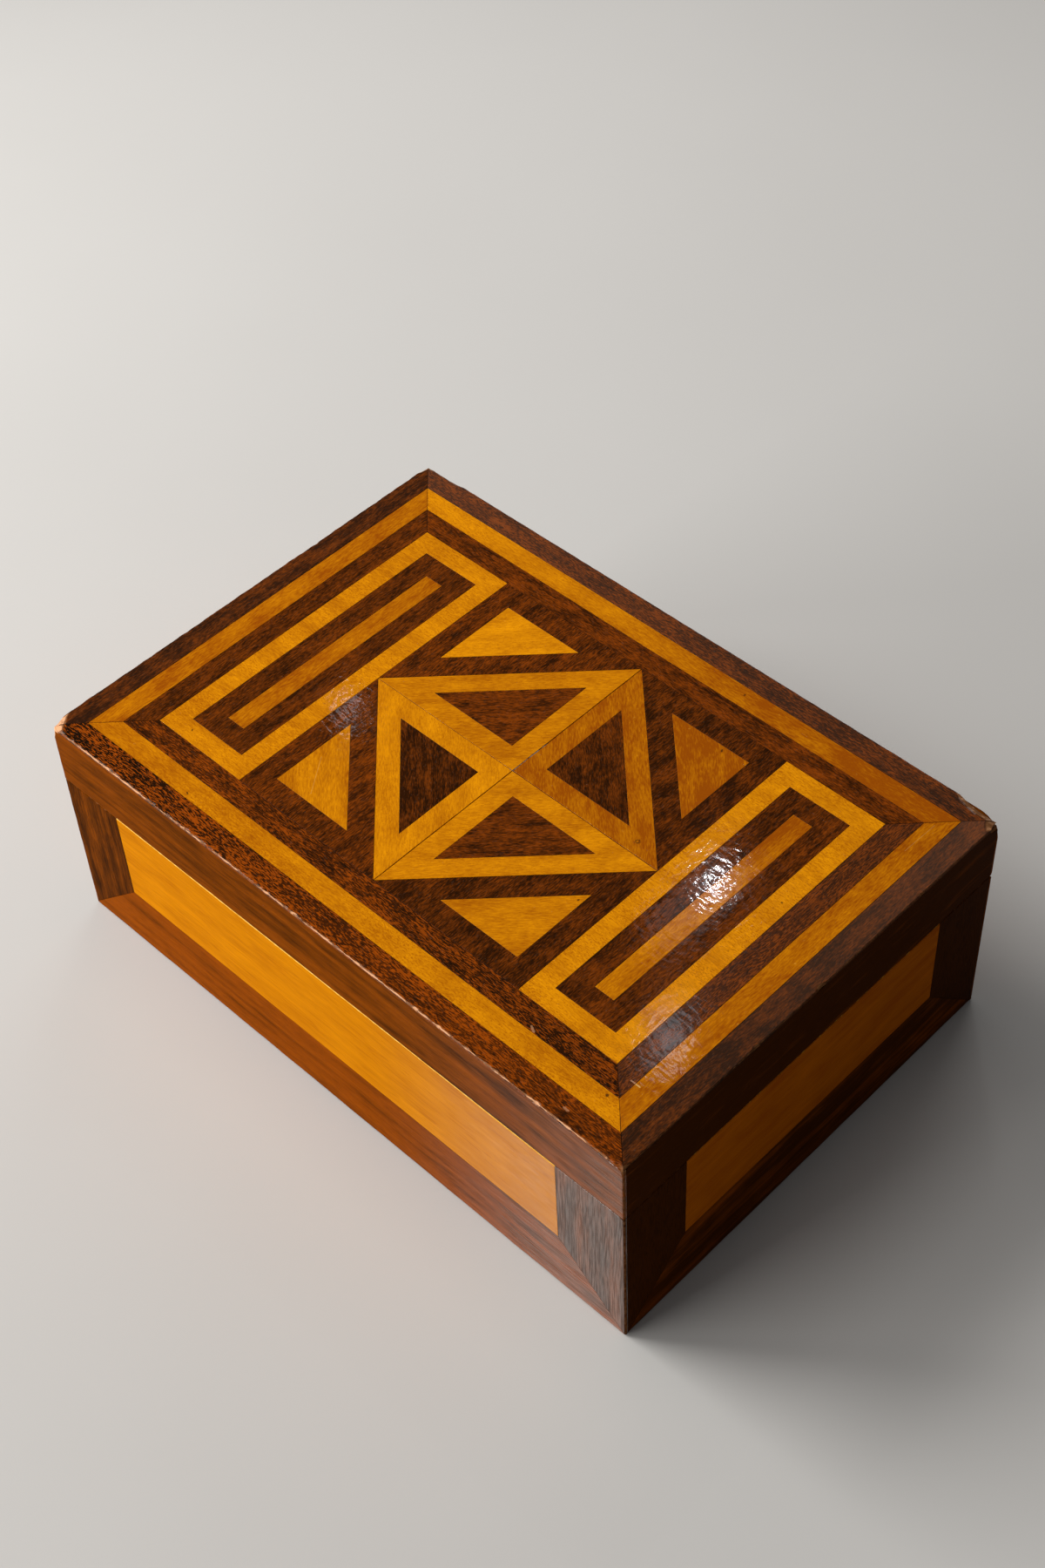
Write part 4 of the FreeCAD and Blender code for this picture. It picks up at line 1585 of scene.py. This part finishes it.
KEY_GROUND_CUT = Cut(CROSSWISE, tone=-0.2, red=0.15, fleck=0.5)
KEY_BAR_CUTS = {
    "left": Cut(CROSSWISE, tone=-0.6, fleck=0.5),
    "right": Cut(CROSSWISE, tone=-0.45, fleck=0.5, slope=-1.2)}
FRAME_CUTS = slanted({
    (-1, -1): Cut(tone=0.21), (1, -1): Cut(tone=0.11), (-1, 1): Cut(tone=-0.08), (1, 1): Cut(tone=-0.72)})
HEART_CUTS = slanted({
    (-1, -1): Cut(tone=-0.62, red=0.1, fleck=0.5), (1, -1): Cut(tone=-0.1, red=0.3, fleck=0.5),
    (-1, 1): Cut(tone=-0.12, red=0.35, fleck=0.5), (1, 1): Cut(tone=-0.3, red=0.1, fleck=0.5)})
LEFT_GROUND_CUT = Cut(CROSSWISE, tone=-0.14, red=0.3, fleck=0.6)
RIGHT_GROUND_CUT = Cut(CROSSWISE, tone=-0.4, red=0.15, fleck=0.6)
GROUND_CUTS = {quarter: RIGHT_GROUND_CUT if quarter[0] > 0 else LEFT_GROUND_CUT for quarter in SLANTS}
TRIANGLE_CUTS = slanted({
    (-1, -1): Cut(tone=-0.2, fleck=0.35), (1, -1): Cut(tone=-0.03, fleck=0.35),
    (-1, 1): Cut(tone=0.42, fleck=0.35), (1, 1): Cut(tone=-0.92, fleck=0.35)})
# Small breaks along the front of the lid: place, half length and depth
FRONT_BREAKS = ((-71.0, 1.2, 0.20), (-44.0, 0.9, 0.22), (-7.0, 1.1, 0.25), (31.0, 1.4, 0.22),
                (38.0, 0.8, 0.25), (66.0, 1.2, 0.22))


@dataclass
class LidInlay:
    """The inlaid top of the lid: borders, keys and the quartered diamond.

    Attributes:
        paints: the materials.
        half_length: half the length of the lid.
        half_width: half the width of the lid.
        dust_end: how far from the middle dust has settled in the open joint.
        rub_end: where along the front its pale rubbed edge, partly a painted highlight, ends.
        mitre_limit: longest slanting edge that is a mitre.
        chips: broken places of the outer border.
    """

    paints: Paints
    half_length: float = 0.0
    half_width: float = 0.0
    dust_end: float = 11.0
    rub_end: float = 85.5
    mitre_limit: float = 12.0
    chips: Sequence[Chip] = ()

    def __post_init__(self) -> None:
        """Take the lid's size from the outer border, and place the chips."""
        low, high = node_size("outer_border_front")
        length, width = self.half_length, self.half_width = high.x, -low.y
        self.chips = (
            Chip((-length, -width), reach=3.0, bite=2.1, bare=0.85, narrow=1.9, straight=True),
            Chip((length - 2.0, width), reach=3.0, bite=2.4, bare=0.6, narrow=0.35),
            Chip((length, -width), reach=2.0, bite=0.6, bare=0.3),
            Chip((6.0 - length, width), reach=6.5, bite=0.8),
            Chip((-length, width), reach=3.0, bite=0.9),
            *(Chip((place, -width), reach, bite, bare=1.0) for place, reach, bite in FRONT_BREAKS),
            Chip((length, -21.0), reach=1.4, bite=0.3),
            Chip((length, 0.0), reach=1.7, bite=0.6, bare=0.45),
            Chip((length, 34.0), reach=1.0, bite=0.3),
            Chip((-length, 22.0), reach=1.4, bite=0.3))

    def build(self) -> None:
        """Build every piece of the inlay."""
        for side in SIDES:
            outer = DARK_MATT if side == "right" else DARK_TOP
            self._strip("outer", side, outer, OUTER_CUTS)
            self._strip("light", side, LIGHT_TOP, LIGHT_CUTS)
            self._strip("inner", side, DARK_TOP, INNER_CUTS)
        for end in ENDS:
            self._piece(f"{end}_key_frame", LIGHT_TOP, [KEY_FRAME_CUTS[end]])
            self._piece(f"{end}_key_ground", DARK_TOP, [KEY_GROUND_CUT])
            self._piece(f"{end}_key_bar", LIGHT_TOP, [KEY_BAR_CUTS[end]])
        self._quarters("diamond_frames", LIGHT_TOP, FRAME_CUTS)
        self._quarters("diamond_hearts", DARK_TOP, HEART_CUTS)
        self._quarters("corner_grounds", DARK_TOP, GROUND_CUTS)
        self._quarters("corner_triangles", LIGHT_TOP, TRIANGLE_CUTS)

    def _strip(self, kind: str, side: str, finish: WoodFinish, cuts: dict[str, Cut]) -> None:
        """Build one strip of a border, with the grain along it."""
        turn = 0.0 if side in LONG_SIDES else CROSSWISE
        self._piece(f"{kind}_border_{side}", finish, [replace(cuts[side], turn=turn)])

    def _piece(self, node: str, finish: WoodFinish, cuts: Sequence[Cut],
               outline: Optional[Outline] = None) -> None:
        """Build and dress one node of the inlay.

        Args:
            node: name of the CAD node.
            finish: the wood.
            cuts: how each solid was cut.
            outline: its outlines, if they have been read.
        """
        outline = outline or Outline(node, Face.TOP)
        outline.add_corner((self.rub_end, -self.half_width))
        sheet = Sheet(f"veneer_{node}", Face.TOP, outline, cuts, self.edge_between, self.chips)
        put_in_place(sheet.mesh(), Body.LID, finish, self.paints, node)

    def _quarters(self, node: str, finish: WoodFinish, cuts: dict[Quarter, Cut]) -> None:
        """Build a node of four like pieces.

        Args:
            node: name of the CAD node.
            finish: the wood.
            cuts: the cut of the piece in a quarter, by the signs of its x and y.
        """
        outline = Outline(node, Face.TOP, quartered=True)
        outline.add_corner((0.0, self.dust_end))
        chosen = []
        for loops in outline.shapes:
            middle = sum((Vector(point) for point in loops[0]), Vector((0, 0))) / len(loops[0])
            chosen.append(cuts[(math.copysign(1, middle.x), math.copysign(1, middle.y))])
        self._piece(node, finish, chosen, outline)

    def edge_between(self, first: Point, last: Point) -> Edge:
        """Kind of the edge between two corners of the lid's top.

        Args:
            first: one corner.
            last: the other.

        Returns:
            The kind of edge.
        """
        ends = (first, last)
        at_end = lie_at(ends, 0, self.half_length)
        if at_end and first[0] > 0:
            return Edge.CRISP
        if lie_at(ends, 1, self.half_width):
            # Along the front the pale rubbed edge is partly a painted highlight.
            rubbed = first[1] < 0 and min(first[0], last[0]) < self.rub_end - NEAR
            return Edge.RUBBED_AND_HIGHLIT if rubbed else Edge.ARRIS
        if at_end:
            return Edge.ARRIS
        if lie_at(ends, 0, 0.0):
            dusty = min(first[1], last[1]) > -NEAR and max(first[1], last[1]) < self.dust_end + NEAR
            return Edge.DUSTY if dusty else Edge.OPEN
        if lie_at(ends, 1, 0.0):
            return Edge.OPEN if max(first[0], last[0]) > NEAR else Edge.GLUED
        run = Vector(last) - Vector(first)
        mitred = abs(abs(run.x) - abs(run.y)) < NEAR and run.length < self.mitre_limit
        return Edge.GLUED if mitred else Edge.TIGHT


# How the veneers of the sides were cut, and how much each side is darkened by painted shade
PANEL_CUTS = {
    "front": Cut(tone=0.06, fleck=0.5, polish=1.0),
    "back": Cut(tone=0.1, fleck=0.5),
    "left": Cut(red=0.1, fleck=0.5),
    # The right panel is made darker and redder as painted shade.
    "right": Cut(tone=-0.7, red=1.2, fleck=0.5)}
RAIL_CUT = Cut(tone=0.4, red=0.3, fleck=0.2, slope=-0.35, polish=0.95)
STILE_CUT = Cut(CROSSWISE, tone=-0.4, red=0.1, fleck=0.4, polish=1.3)
STILE_TONES = {"front_left_stile": -0.5, "front_right_stile": -0.75}
EDGING_CUT = Cut(tone=0.03, red=0.1, fleck=0.2, polish=0.6)
# Painted shade: how much darker the dark veneers of each side are made, most on the right.
SHADES = {"front": 0.0, "back": 0.1, "left": 0.1, "right": 1.3}


@dataclass
class SideVeneers:
    """The veneers on the four sides of the box and of the lid.

    Attributes:
        paints: the materials.
        half_length: half the length of the box.
        half_width: half the width of the box.
        box_top: height of the box's rim.
        lid_foot: height of the lid's rim.
        lid_core: height of the wood under the lid's inlay.
        rail_shade: share of a side's painted shade that its bottom rail takes.
        back_break: width of the broken edges of the back's veneers.
        back_wear: share of wear on them.
        knock_reach: how far the lid's knocked back corner is worn.
        knock_shift: how far that corner has gone in.
    """

    paints: Paints
    half_length: float = 0.0
    half_width: float = 0.0
    box_top: float = 0.0
    lid_foot: float = 0.0
    lid_core: float = 0.0
    rail_shade: float = 0.75
    back_break: float = 0.16
    back_wear: float = 0.6
    knock_reach: float = 5.0
    knock_shift: Direction = (-0.8, -0.6, -1.2)

    def __post_init__(self) -> None:
        """Take the sizes from the frame."""
        low, high = node_size("lid_front_edging")
        self.half_length, self.half_width = high.x, -low.y
        self.lid_foot, self.lid_core = low.z, high.z
        self.box_top = node_size("front_panel")[1].z

    def build(self) -> None:
        """Build the veneers of all sides."""
        for side in SIDES:
            rail = self._shaded(RAIL_CUT, side, self.rail_shade)
            self._piece(f"{side}_panel", side, Body.BOX, LIGHT_SIDE, PANEL_CUTS[side])
            self._piece(f"{side}_bottom_rail", side, Body.BOX, DARK_SIDE, rail)
            for hand in (ENDS if side in LONG_SIDES else LONG_SIDES):
                node = f"{side}_{hand}_stile"
                stile = replace(STILE_CUT, tone=STILE_TONES.get(node, STILE_CUT.tone))
                self._piece(node, side, Body.BOX, DARK_SIDE, self._shaded(stile, side))
            edging = self._shaded(EDGING_CUT, side)
            self._piece(f"lid_{side}_edging", side, Body.LID, DARK_SIDE, edging)

    @staticmethod
    def _shaded(cut: Cut, side: str, share: float = 1.0) -> Cut:
        """A dark cut darkened by a share of its side's painted shade, with the first polish on the front
        alone.
        """
        shaded = replace(cut, tone=cut.tone - share * SHADES[side])
        return shaded if side == "front" else replace(shaded, slope=0.0, polish=0.0)

    def _piece(self, node: str, side: str, body: Body, finish: WoodFinish, cut: Cut) -> None:
        """Build and dress one veneer.

        Args:
            node: name of the CAD node.
            side: the side that it is on.
            body: the body that it moves with.
            finish: the wood.
            cut: how it was cut.
        """
        face, name = SIDES[side], f"veneer_{node}"
        if side == "back":
            grain = Grain.in_face(face, cut.turn, name)
            mesh = softened(node, name, self.back_break, cut, grain, self.back_wear, worn=self._worn(node))
        else:
            rule = self._edge_rule(face, finish)
            mesh = Sheet(name, face, Outline(node, face), [cut], rule, self._chips(face)).mesh()
        put_in_place(mesh, body, finish, self.paints, node)

    def _worn(self, node: str) -> Optional[WornCorner]:
        """The knocked corner of the lid's back edging."""
        if node != "lid_back_edging":
            return None
        corner = Vector((self.half_length, self.half_width, self.lid_core))
        return WornCorner(corner, self.knock_reach, Vector(self.knock_shift))

    def _chips(self, face: Face) -> Sequence[Chip]:
        """Broken places at the top corners of the lid's edging on one side."""
        if face is Face.FRONT:
            return (Chip((-self.half_length, self.lid_core), reach=2.4, bite=0.8, bare=1.0),
                    Chip((self.half_length, self.lid_core), reach=1.5, bite=0.3))
        if face is Face.LEFT:
            return (Chip((self.half_width, self.lid_core), reach=3.4, bite=0.8, bare=1.0),)
        return (Chip((self.half_width, self.lid_core), reach=4.5, bite=1.7),)

    def _edge_rule(self, face: Face, finish: WoodFinish) -> EdgeRule:
        """The kinds of edge on one side.

        Args:
            face: the side.
            finish: the wood.

        Returns:
            A function that gives the kind of edge between two corners.
        """
        # The light front panel's top edge gets a painted highlight line.
        rim = Edge.PAINTED_HIGHLIGHT_RIM if finish.slot is Slot.LIGHT and face is Face.FRONT else Edge.RIM

        def edge_between(first: Point, last: Point) -> Edge:
            """Kind of the edge between two corners of the side."""
            ends = (first, last)
            if lie_at(ends, 1, 0.0):
                return Edge.FOOT
            if lie_at(ends, 1, self.box_top) or lie_at(ends, 1, self.lid_foot):
                return rim
            if lie_at(ends, 1, self.lid_core):
                return Edge.COVERED
            upright = face is Face.FRONT and lie_at(ends, 0, self.half_length)
            return Edge.UPRIGHT if upright else Edge.TIGHT

        return edge_between


@dataclass
class Carcass:
    """The plain wood inside: walls, rails and boards.

    Attributes:
        paints: the materials.
        break_width: width of the broken edges.
        wear: share of wear on them.
        cut: how the wood was cut.
    """

    paints: Paints
    break_width: float = 0.25
    wear: float = 0.5
    cut: Cut = Cut(red=0.1, fleck=0.35)

    def build(self) -> None:
        """Build walls, rails and boards."""
        for side in SIDES:
            self._piece(f"{side}_wall", Body.BOX)
            self._piece(f"lid_{side}_rail", Body.LID)
        self._piece("bottom_board", Body.BOX)
        self._piece("lid_board", Body.LID)

    def _piece(self, node: str, body: Body) -> None:
        """Build and dress one member.

        Args:
            node: name of the CAD node.
            body: the body that it moves with.
        """
        name = f"plain_{node}"
        grain = Grain.along_length(*node_size(node), name)
        mesh = softened(node, name, self.break_width, self.cut, grain, self.wear)
        put_in_place(mesh, body, CARCASS_WOOD, self.paints, node)


class ScrewTree:
    """Geometry Nodes tree that puts slotted screws on points.

    The points are the middles of the heads, and the shanks go down from them.
    """

    SIZES = ("Head Diameter", "Head Height", "Shank Diameter", "Length", "Slot Width", "Slot Depth")
    HEAD_SIDES = 40
    SHANK_SIDES = 24
    SLOT_OVERRUN = 1.2
    TIP_SHARE = 0.25

    def __init__(self, metal: bpy.types.Material) -> None:
        """Build the tree.

        Args:
            metal: the screws' material.
        """
        self.tree = bpy.data.node_groups.new("slotted_screws", "GeometryNodeTree")
        self.keys = {}
        sockets = self.tree.interface
        sockets.new_socket("Points", in_out="INPUT", socket_type="NodeSocketGeometry")
        for label, kind in {**dict.fromkeys(self.SIZES, "Float"), "Tilt": "Float", "Seed": "Int"}.items():
            made = sockets.new_socket(label, in_out="INPUT", socket_type="NodeSocket" + kind)
            self.keys[label] = made.identifier
        sockets.new_socket("Screws", in_out="OUTPUT", socket_type="NodeSocketGeometry")
        graph = Graph(self.tree)
        given = graph.add("NodeGroupInput").outputs
        screw = self._screw(graph, given)
        most = math.pi / 2
        angle = graph.add("FunctionNodeRandomValue", {2: -most, 3: most, "Seed": given["Seed"]},
                          data_type="FLOAT")
        turned = graph.axes(given["Tilt"], 0.0, angle.outputs[1])
        spread = graph.add("GeometryNodeInstanceOnPoints", {
            "Points": given["Points"], "Instance": screw, "Rotation": turned})
        real = graph.add("GeometryNodeRealizeInstances", {"Geometry": spread.outputs[0]})
        painted = graph.add("GeometryNodeSetMaterial", {"Geometry": real.outputs[0], "Material": metal})
        graph.add("NodeGroupOutput", {"Screws": painted.outputs[0]})

    def _screw(self, graph: Graph, given: Any) -> Socket:
        """One screw, with the middle of its head at the origin.

        Args:
            graph: the tree's graph.
            given: the sockets of the tree's inputs.

        Returns:
            The screw's geometry.
        """
        def times(value: Feed, factor: float) -> Socket:
            """A value times a factor."""
            return graph.maths("MULTIPLY", value, factor)

        def lowered(part: bpy.types.Node, depth: Feed) -> Socket:
            """A part of the screw, moved down."""
            down = graph.axes(0.0, 0.0, times(depth, -1.0))
            feeds = {"Geometry": part.outputs["Mesh"], "Translation": down}
            return graph.add("GeometryNodeTransform", feeds).outputs[0]

        head_radius = times(given["Head Diameter"], 0.5)
        shank_radius = times(given["Shank Diameter"], 0.5)
        head = graph.add("GeometryNodeMeshCone", {
            "Vertices": self.HEAD_SIDES, "Radius Top": head_radius, "Radius Bottom": shank_radius,
            "Depth": given["Head Height"]})
        slot_length = times(given["Head Diameter"], self.SLOT_OVERRUN)
        slot_size = graph.axes(slot_length, given["Slot Width"], times(given["Slot Depth"], 2.0))
        slot = graph.add("GeometryNodeMeshCube", {"Size": slot_size}).outputs["Mesh"]
        cut = graph.add("GeometryNodeMeshBoolean", {0: lowered(head, given["Head Height"]), 1: slot},
                        operation="DIFFERENCE")
        shank = graph.add("GeometryNodeMeshCone", {
            "Vertices": self.SHANK_SIDES, "Radius Top": shank_radius,
            "Radius Bottom": times(shank_radius, self.TIP_SHARE),
            "Depth": graph.maths("SUBTRACT", given["Length"], given["Head Height"])})
        whole = graph.add("GeometryNodeJoinGeometry")
        graph.feed(whole.inputs[0], cut.outputs[0])
        graph.feed(whole.inputs[0], lowered(shank, given["Length"]))
        return whole.outputs[0]

    def mesh(self, name: str, places: Iterable[Vector], sizes: dict[str, float],
             seed: int) -> bpy.types.Mesh:
        """Put screws on places, as a plain mesh.

        Args:
            name: name of the mesh.
            places: middles of the heads, in metres.
            sizes: the tree's sizes, in metres and radians.
            seed: what the turns of the slots are drawn from.

        Returns:
            The mesh.
        """
        points = bpy.data.meshes.new(f"{name}_points")
        points.from_pydata(list(places), [], [])
        carrier = linked(f"{name}_points", points)
        modifier = carrier.modifiers.new("screws", "NODES")
        modifier.node_group = self.tree
        for label, value in sizes.items():
            modifier[self.keys[label]] = value
        modifier[self.keys["Seed"]] = seed
        depsgraph = bpy.context.evaluated_depsgraph_get()
        mesh = bpy.data.meshes.new_from_object(carrier.evaluated_get(depsgraph), depsgraph=depsgraph)
        mesh.name = name
        carrier.modifiers.remove(modifier)
        bpy.data.objects.remove(carrier)
        bpy.data.meshes.remove(points)
        return mesh


@dataclass
class Hinges:
    """The two butt hinges: leaves, pins and screws.

    Attributes:
        paints: the materials.
        break_width: width of the broken edges.
        wear: share of wear on them.
        head_diameter: diameter of the screw heads.
        head_height: height of the screw heads.
        shank_diameter: diameter of the screws.
        length: length of the screws.
        slot_width: width of the slots.
        slot_depth: depth of the slots.
        screw_gap: distance that parts one screw from the next.
        seeds: how many seeds the turns of the slots are drawn from.
    """

    paints: Paints
    break_width: float = 0.09
    wear: float = 0.9
    head_diameter: float = 3.36
    head_height: float = 0.8
    shank_diameter: float = 1.8
    length: float = 8.0
    slot_width: float = 0.45
    slot_depth: float = 0.4
    screw_gap: float = 1.0
    seeds: int = 1000

    def build(self) -> None:
        """Build both hinges."""
        for end in ENDS:
            self._softened(f"{end}_hinge_box_leaf", Body.BOX, HINGE_BRASS)
            self._softened(f"{end}_hinge_lid_leaf", Body.LID, HINGE_BRASS)
            self._softened(f"{end}_hinge_pin", Body.BOX, PIN_STEEL)
        tree = ScrewTree(self.paints[SCREW_BRASS])
        self._screws(tree, "box_hinge_screws", Body.BOX)
        self._screws(tree, "lid_hinge_screws", Body.LID)

    def _softened(self, node: str, body: Body, finish: MetalFinish) -> None:
        """Build and dress one leaf or pin.

        Args:
            node: name of the CAD node.
            body: the body that it moves with.
            finish: the metal.
        """
        name = f"metal_{node}"
        grain = Grain.along_length(*node_size(node), name)
        mesh = softened(node, name, self.break_width, Cut(), grain, self.wear)
        put_in_place(mesh, body, finish, self.paints, node)

    def _screws(self, tree: ScrewTree, node: str, body: Body) -> None:
        """Build and dress the screws of one half.

        Args:
            tree: the screws' tree.
            node: name of the CAD node.
            body: the body that they move with.
        """
        low, high = node_size(node)
        rim = high.z if body is Body.BOX else low.z
        places = [Vector((x, (low.y + high.y) / 2, rim)) * MM for x in self._middles(node)]
        sizes = {label: value * MM for label, value in values_of(self, tree.SIZES).items()}
        sizes["Tilt"] = 0.0 if body is Body.BOX else math.pi
        mesh = tree.mesh(f"metal_{node}", places, sizes, seed=seed_of(node) % self.seeds)
        put_in_place(mesh, body, SCREW_BRASS, self.paints, node)

    def _middles(self, node: str) -> list[float]:
        """Where the screws of a node stand, along the box.

        Args:
            node: name of the CAD node.

        Returns:
            The x of each screw.
        """
        places = sorted(vertex.co.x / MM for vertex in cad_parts[node].data.vertices)
        groups = [[places[0]]]
        for place in places[1:]:
            if place - groups[-1][-1] > self.screw_gap:
                groups.append([])
            groups[-1].append(place)
        return [(group[0] + group[-1]) / 2 for group in groups]


# Studio


@dataclass(frozen=True)
class Lamp:
    """A soft box.

    Attributes:
        name: name of the lamp.
        toward: direction from the box to the lamp.
        distance: distance from the box, in metres.
        size: width and height, in metres.
        power: power in watts.
        colour: colour of its light.
        turn: how far it is turned about its own axis, in degrees.
    """

    name: str
    toward: Direction
    distance: float
    size: tuple[float, float]
    power: float
    colour: Colour = (1.0, 1.0, 1.0)
    turn: float = 0.0

    def build(self) -> None:
        """Hang the lamp."""
        light = bpy.data.lights.new(self.name, "AREA")
        light.shape = "RECTANGLE"
        light.size, light.size_y = self.size
        light.energy = self.power
        light.color = self.colour
        lamp = linked(self.name, light)
        away = Vector(self.toward).normalized()
        lamp.location = away * self.distance
        lamp.rotation_mode = "QUATERNION"
        spin = Quaternion((0.0, 0.0, 1.0), math.radians(self.turn))
        lamp.rotation_quaternion = away.to_track_quat("Z", "Y") @ spin


@dataclass
class Studio:
    """Pale floor with a wall that sweeps up all round, soft boxes and an even sky. Lengths are metres.

    Attributes:
        floor_radius: radius of the flat floor.
        sweep_radius: radius of the curve from the floor to the wall.
        wall_height: height of the wall.
        sweep_steps: how many strips the curve has.
        spin_steps: how many strips there are all round.
        below: gap under the box.
        sky: brightness of the sky.
        lamps: the soft boxes.
    """

    floor_radius: float = 2.2
    sweep_radius: float = 0.8
    wall_height: float = 1.1
    sweep_steps: int = 8
    spin_steps: int = 96
    below: float = 0.0002
    sky: Colour = (0.11, 0.11, 0.113)
    lamps: Sequence[Lamp] = (
        Lamp("left_key", (-0.72, -0.30, 0.62), 1.3, (0.7, 0.7), 17.8),
        Lamp("front_fill", (-0.40, -0.85, 0.24), 1.5, (0.9, 0.5), 15.0),
        Lamp("overhead", (-0.15, 0.0, 1.0), 1.4, (0.7, 0.7), 2.0),
        Lamp("back_fill", (-0.45, 0.85, 0.40), 1.6, (0.9, 0.6), 4.5),
        Lamp("window", (-0.3623, 0.4880, 0.7941), 1.53, (0.005, 0.017), 0.19, (0.95, 0.97, 1.0),
             turn=-45.0),
        Lamp("window_haze", (-0.3623, 0.4700, 0.7941), 1.54, (0.04, 0.09), 0.04, (0.92, 0.96, 1.0),
             turn=-45.0),
        Lamp("window_glow", (-0.3344, 0.4192, 0.8441), 1.52, (0.026, 0.045), 0.085, (0.85, 0.93, 1.0)),
        Lamp("side_window", (-0.5572, 0.4035, 0.7256), 1.566, (0.012, 0.02), 0.02, (0.90, 0.95, 1.0)),
    )

    def build(self) -> None:
        """Build floor, sky and lamps."""
        self._floor()
        world = bpy.data.worlds.new("even_sky")
        world.use_nodes = True
        graph = Graph(world.node_tree)
        sky = graph.add("ShaderNodeBackground", {"Color": rgba(self.sky), "Strength": 1.0})
        graph.add("ShaderNodeOutputWorld", {"Surface": sky.outputs[0]})
        bpy.context.scene.world = world
        for lamp in self.lamps:
            lamp.build()
        bpy.context.scene.view_settings.view_transform = "Standard"

    def _floor(self) -> None:
        """Spin the profile of floor and wall."""
        profile = [Vector((0.0, 0.0, 0.0)), Vector((self.floor_radius, 0.0, 0.0))]
        for step in range(1, self.sweep_steps + 1):
            angle = step / self.sweep_steps * math.pi / 2
            profile.append(Vector((self.floor_radius + self.sweep_radius * math.sin(angle), 0.0,
                                   self.sweep_radius * (1 - math.cos(angle)))))
        profile.append(Vector((self.floor_radius + self.sweep_radius, 0.0, self.wall_height)))
        shape = bmesh.new()
        points = [shape.verts.new(place - Vector((0.0, 0.0, self.below))) for place in profile]
        edges = [shape.edges.new(pair) for pair in zip(points, points[1:])]
        bmesh.ops.spin(shape, geom=points + edges, cent=(0, 0, 0), axis=(0, 0, 1), dvec=(0, 0, 0),
                       angle=2 * math.pi, steps=self.spin_steps, use_merge=True, use_duplicate=False)
        bmesh.ops.remove_doubles(shape, verts=shape.verts, dist=SAME_PLACE)
        for face in shape.faces:
            face.smooth = True
            if face.normal.dot(Vector((0, 0, 1)) - face.calc_center_median().normalized()) < 0:
                face.normal_flip()
        mesh = mesh_of(shape, "pale_floor")
        mesh.materials.append(FloorFinish().material())
        floor = linked("pale_floor", mesh)


@dataclass
class PhotoCamera:
    """Camera at the photograph's viewing angle.

    Attributes:
        place: where it stands, in metres.
        forward: direction in which it looks.
        right: direction of the picture's right edge.
        lens: focal length.
        sensor: length of the sensor's longer side.
        clip: nearest and farthest distance that it shows, in metres.
    """

    place: Direction = (0.26618, -0.25012, 0.46164)
    forward: Direction = (-0.48756, 0.46341, -0.73995)
    right: Direction = (0.71827, 0.69471, -0.03820)
    lens: float = 54.88
    sensor: float = 36.0
    clip: tuple[float, float] = (0.01, 50.0)

    def build(self) -> None:
        """Set up the camera."""
        data = bpy.data.cameras.new("photo_camera")
        data.lens, data.sensor_width, data.sensor_fit = self.lens, self.sensor, "AUTO"
        data.clip_start, data.clip_end = self.clip
        back = -Vector(self.forward).normalized()
        right = Vector(self.right)
        right = (right - back * right.dot(back)).normalized()
        turn = Matrix((right, back.cross(right), back)).transposed()
        camera = linked("photo_camera", data)
        camera.matrix_world = Matrix.Translation(self.place) @ turn.to_4x4()
        bpy.context.scene.camera = camera


def main() -> None:
    """Dress the frame and set the stage."""
    logging.basicConfig(level=logging.INFO, format="%(name)s: %(message)s")
    paints = Paints()
    LidInlay(paints).build()
    SideVeneers(paints).build()
    Carcass(paints).build()
    Hinges(paints).build()
    Studio().build()
    PhotoCamera().build()


if __name__ == "__main__":
    main()
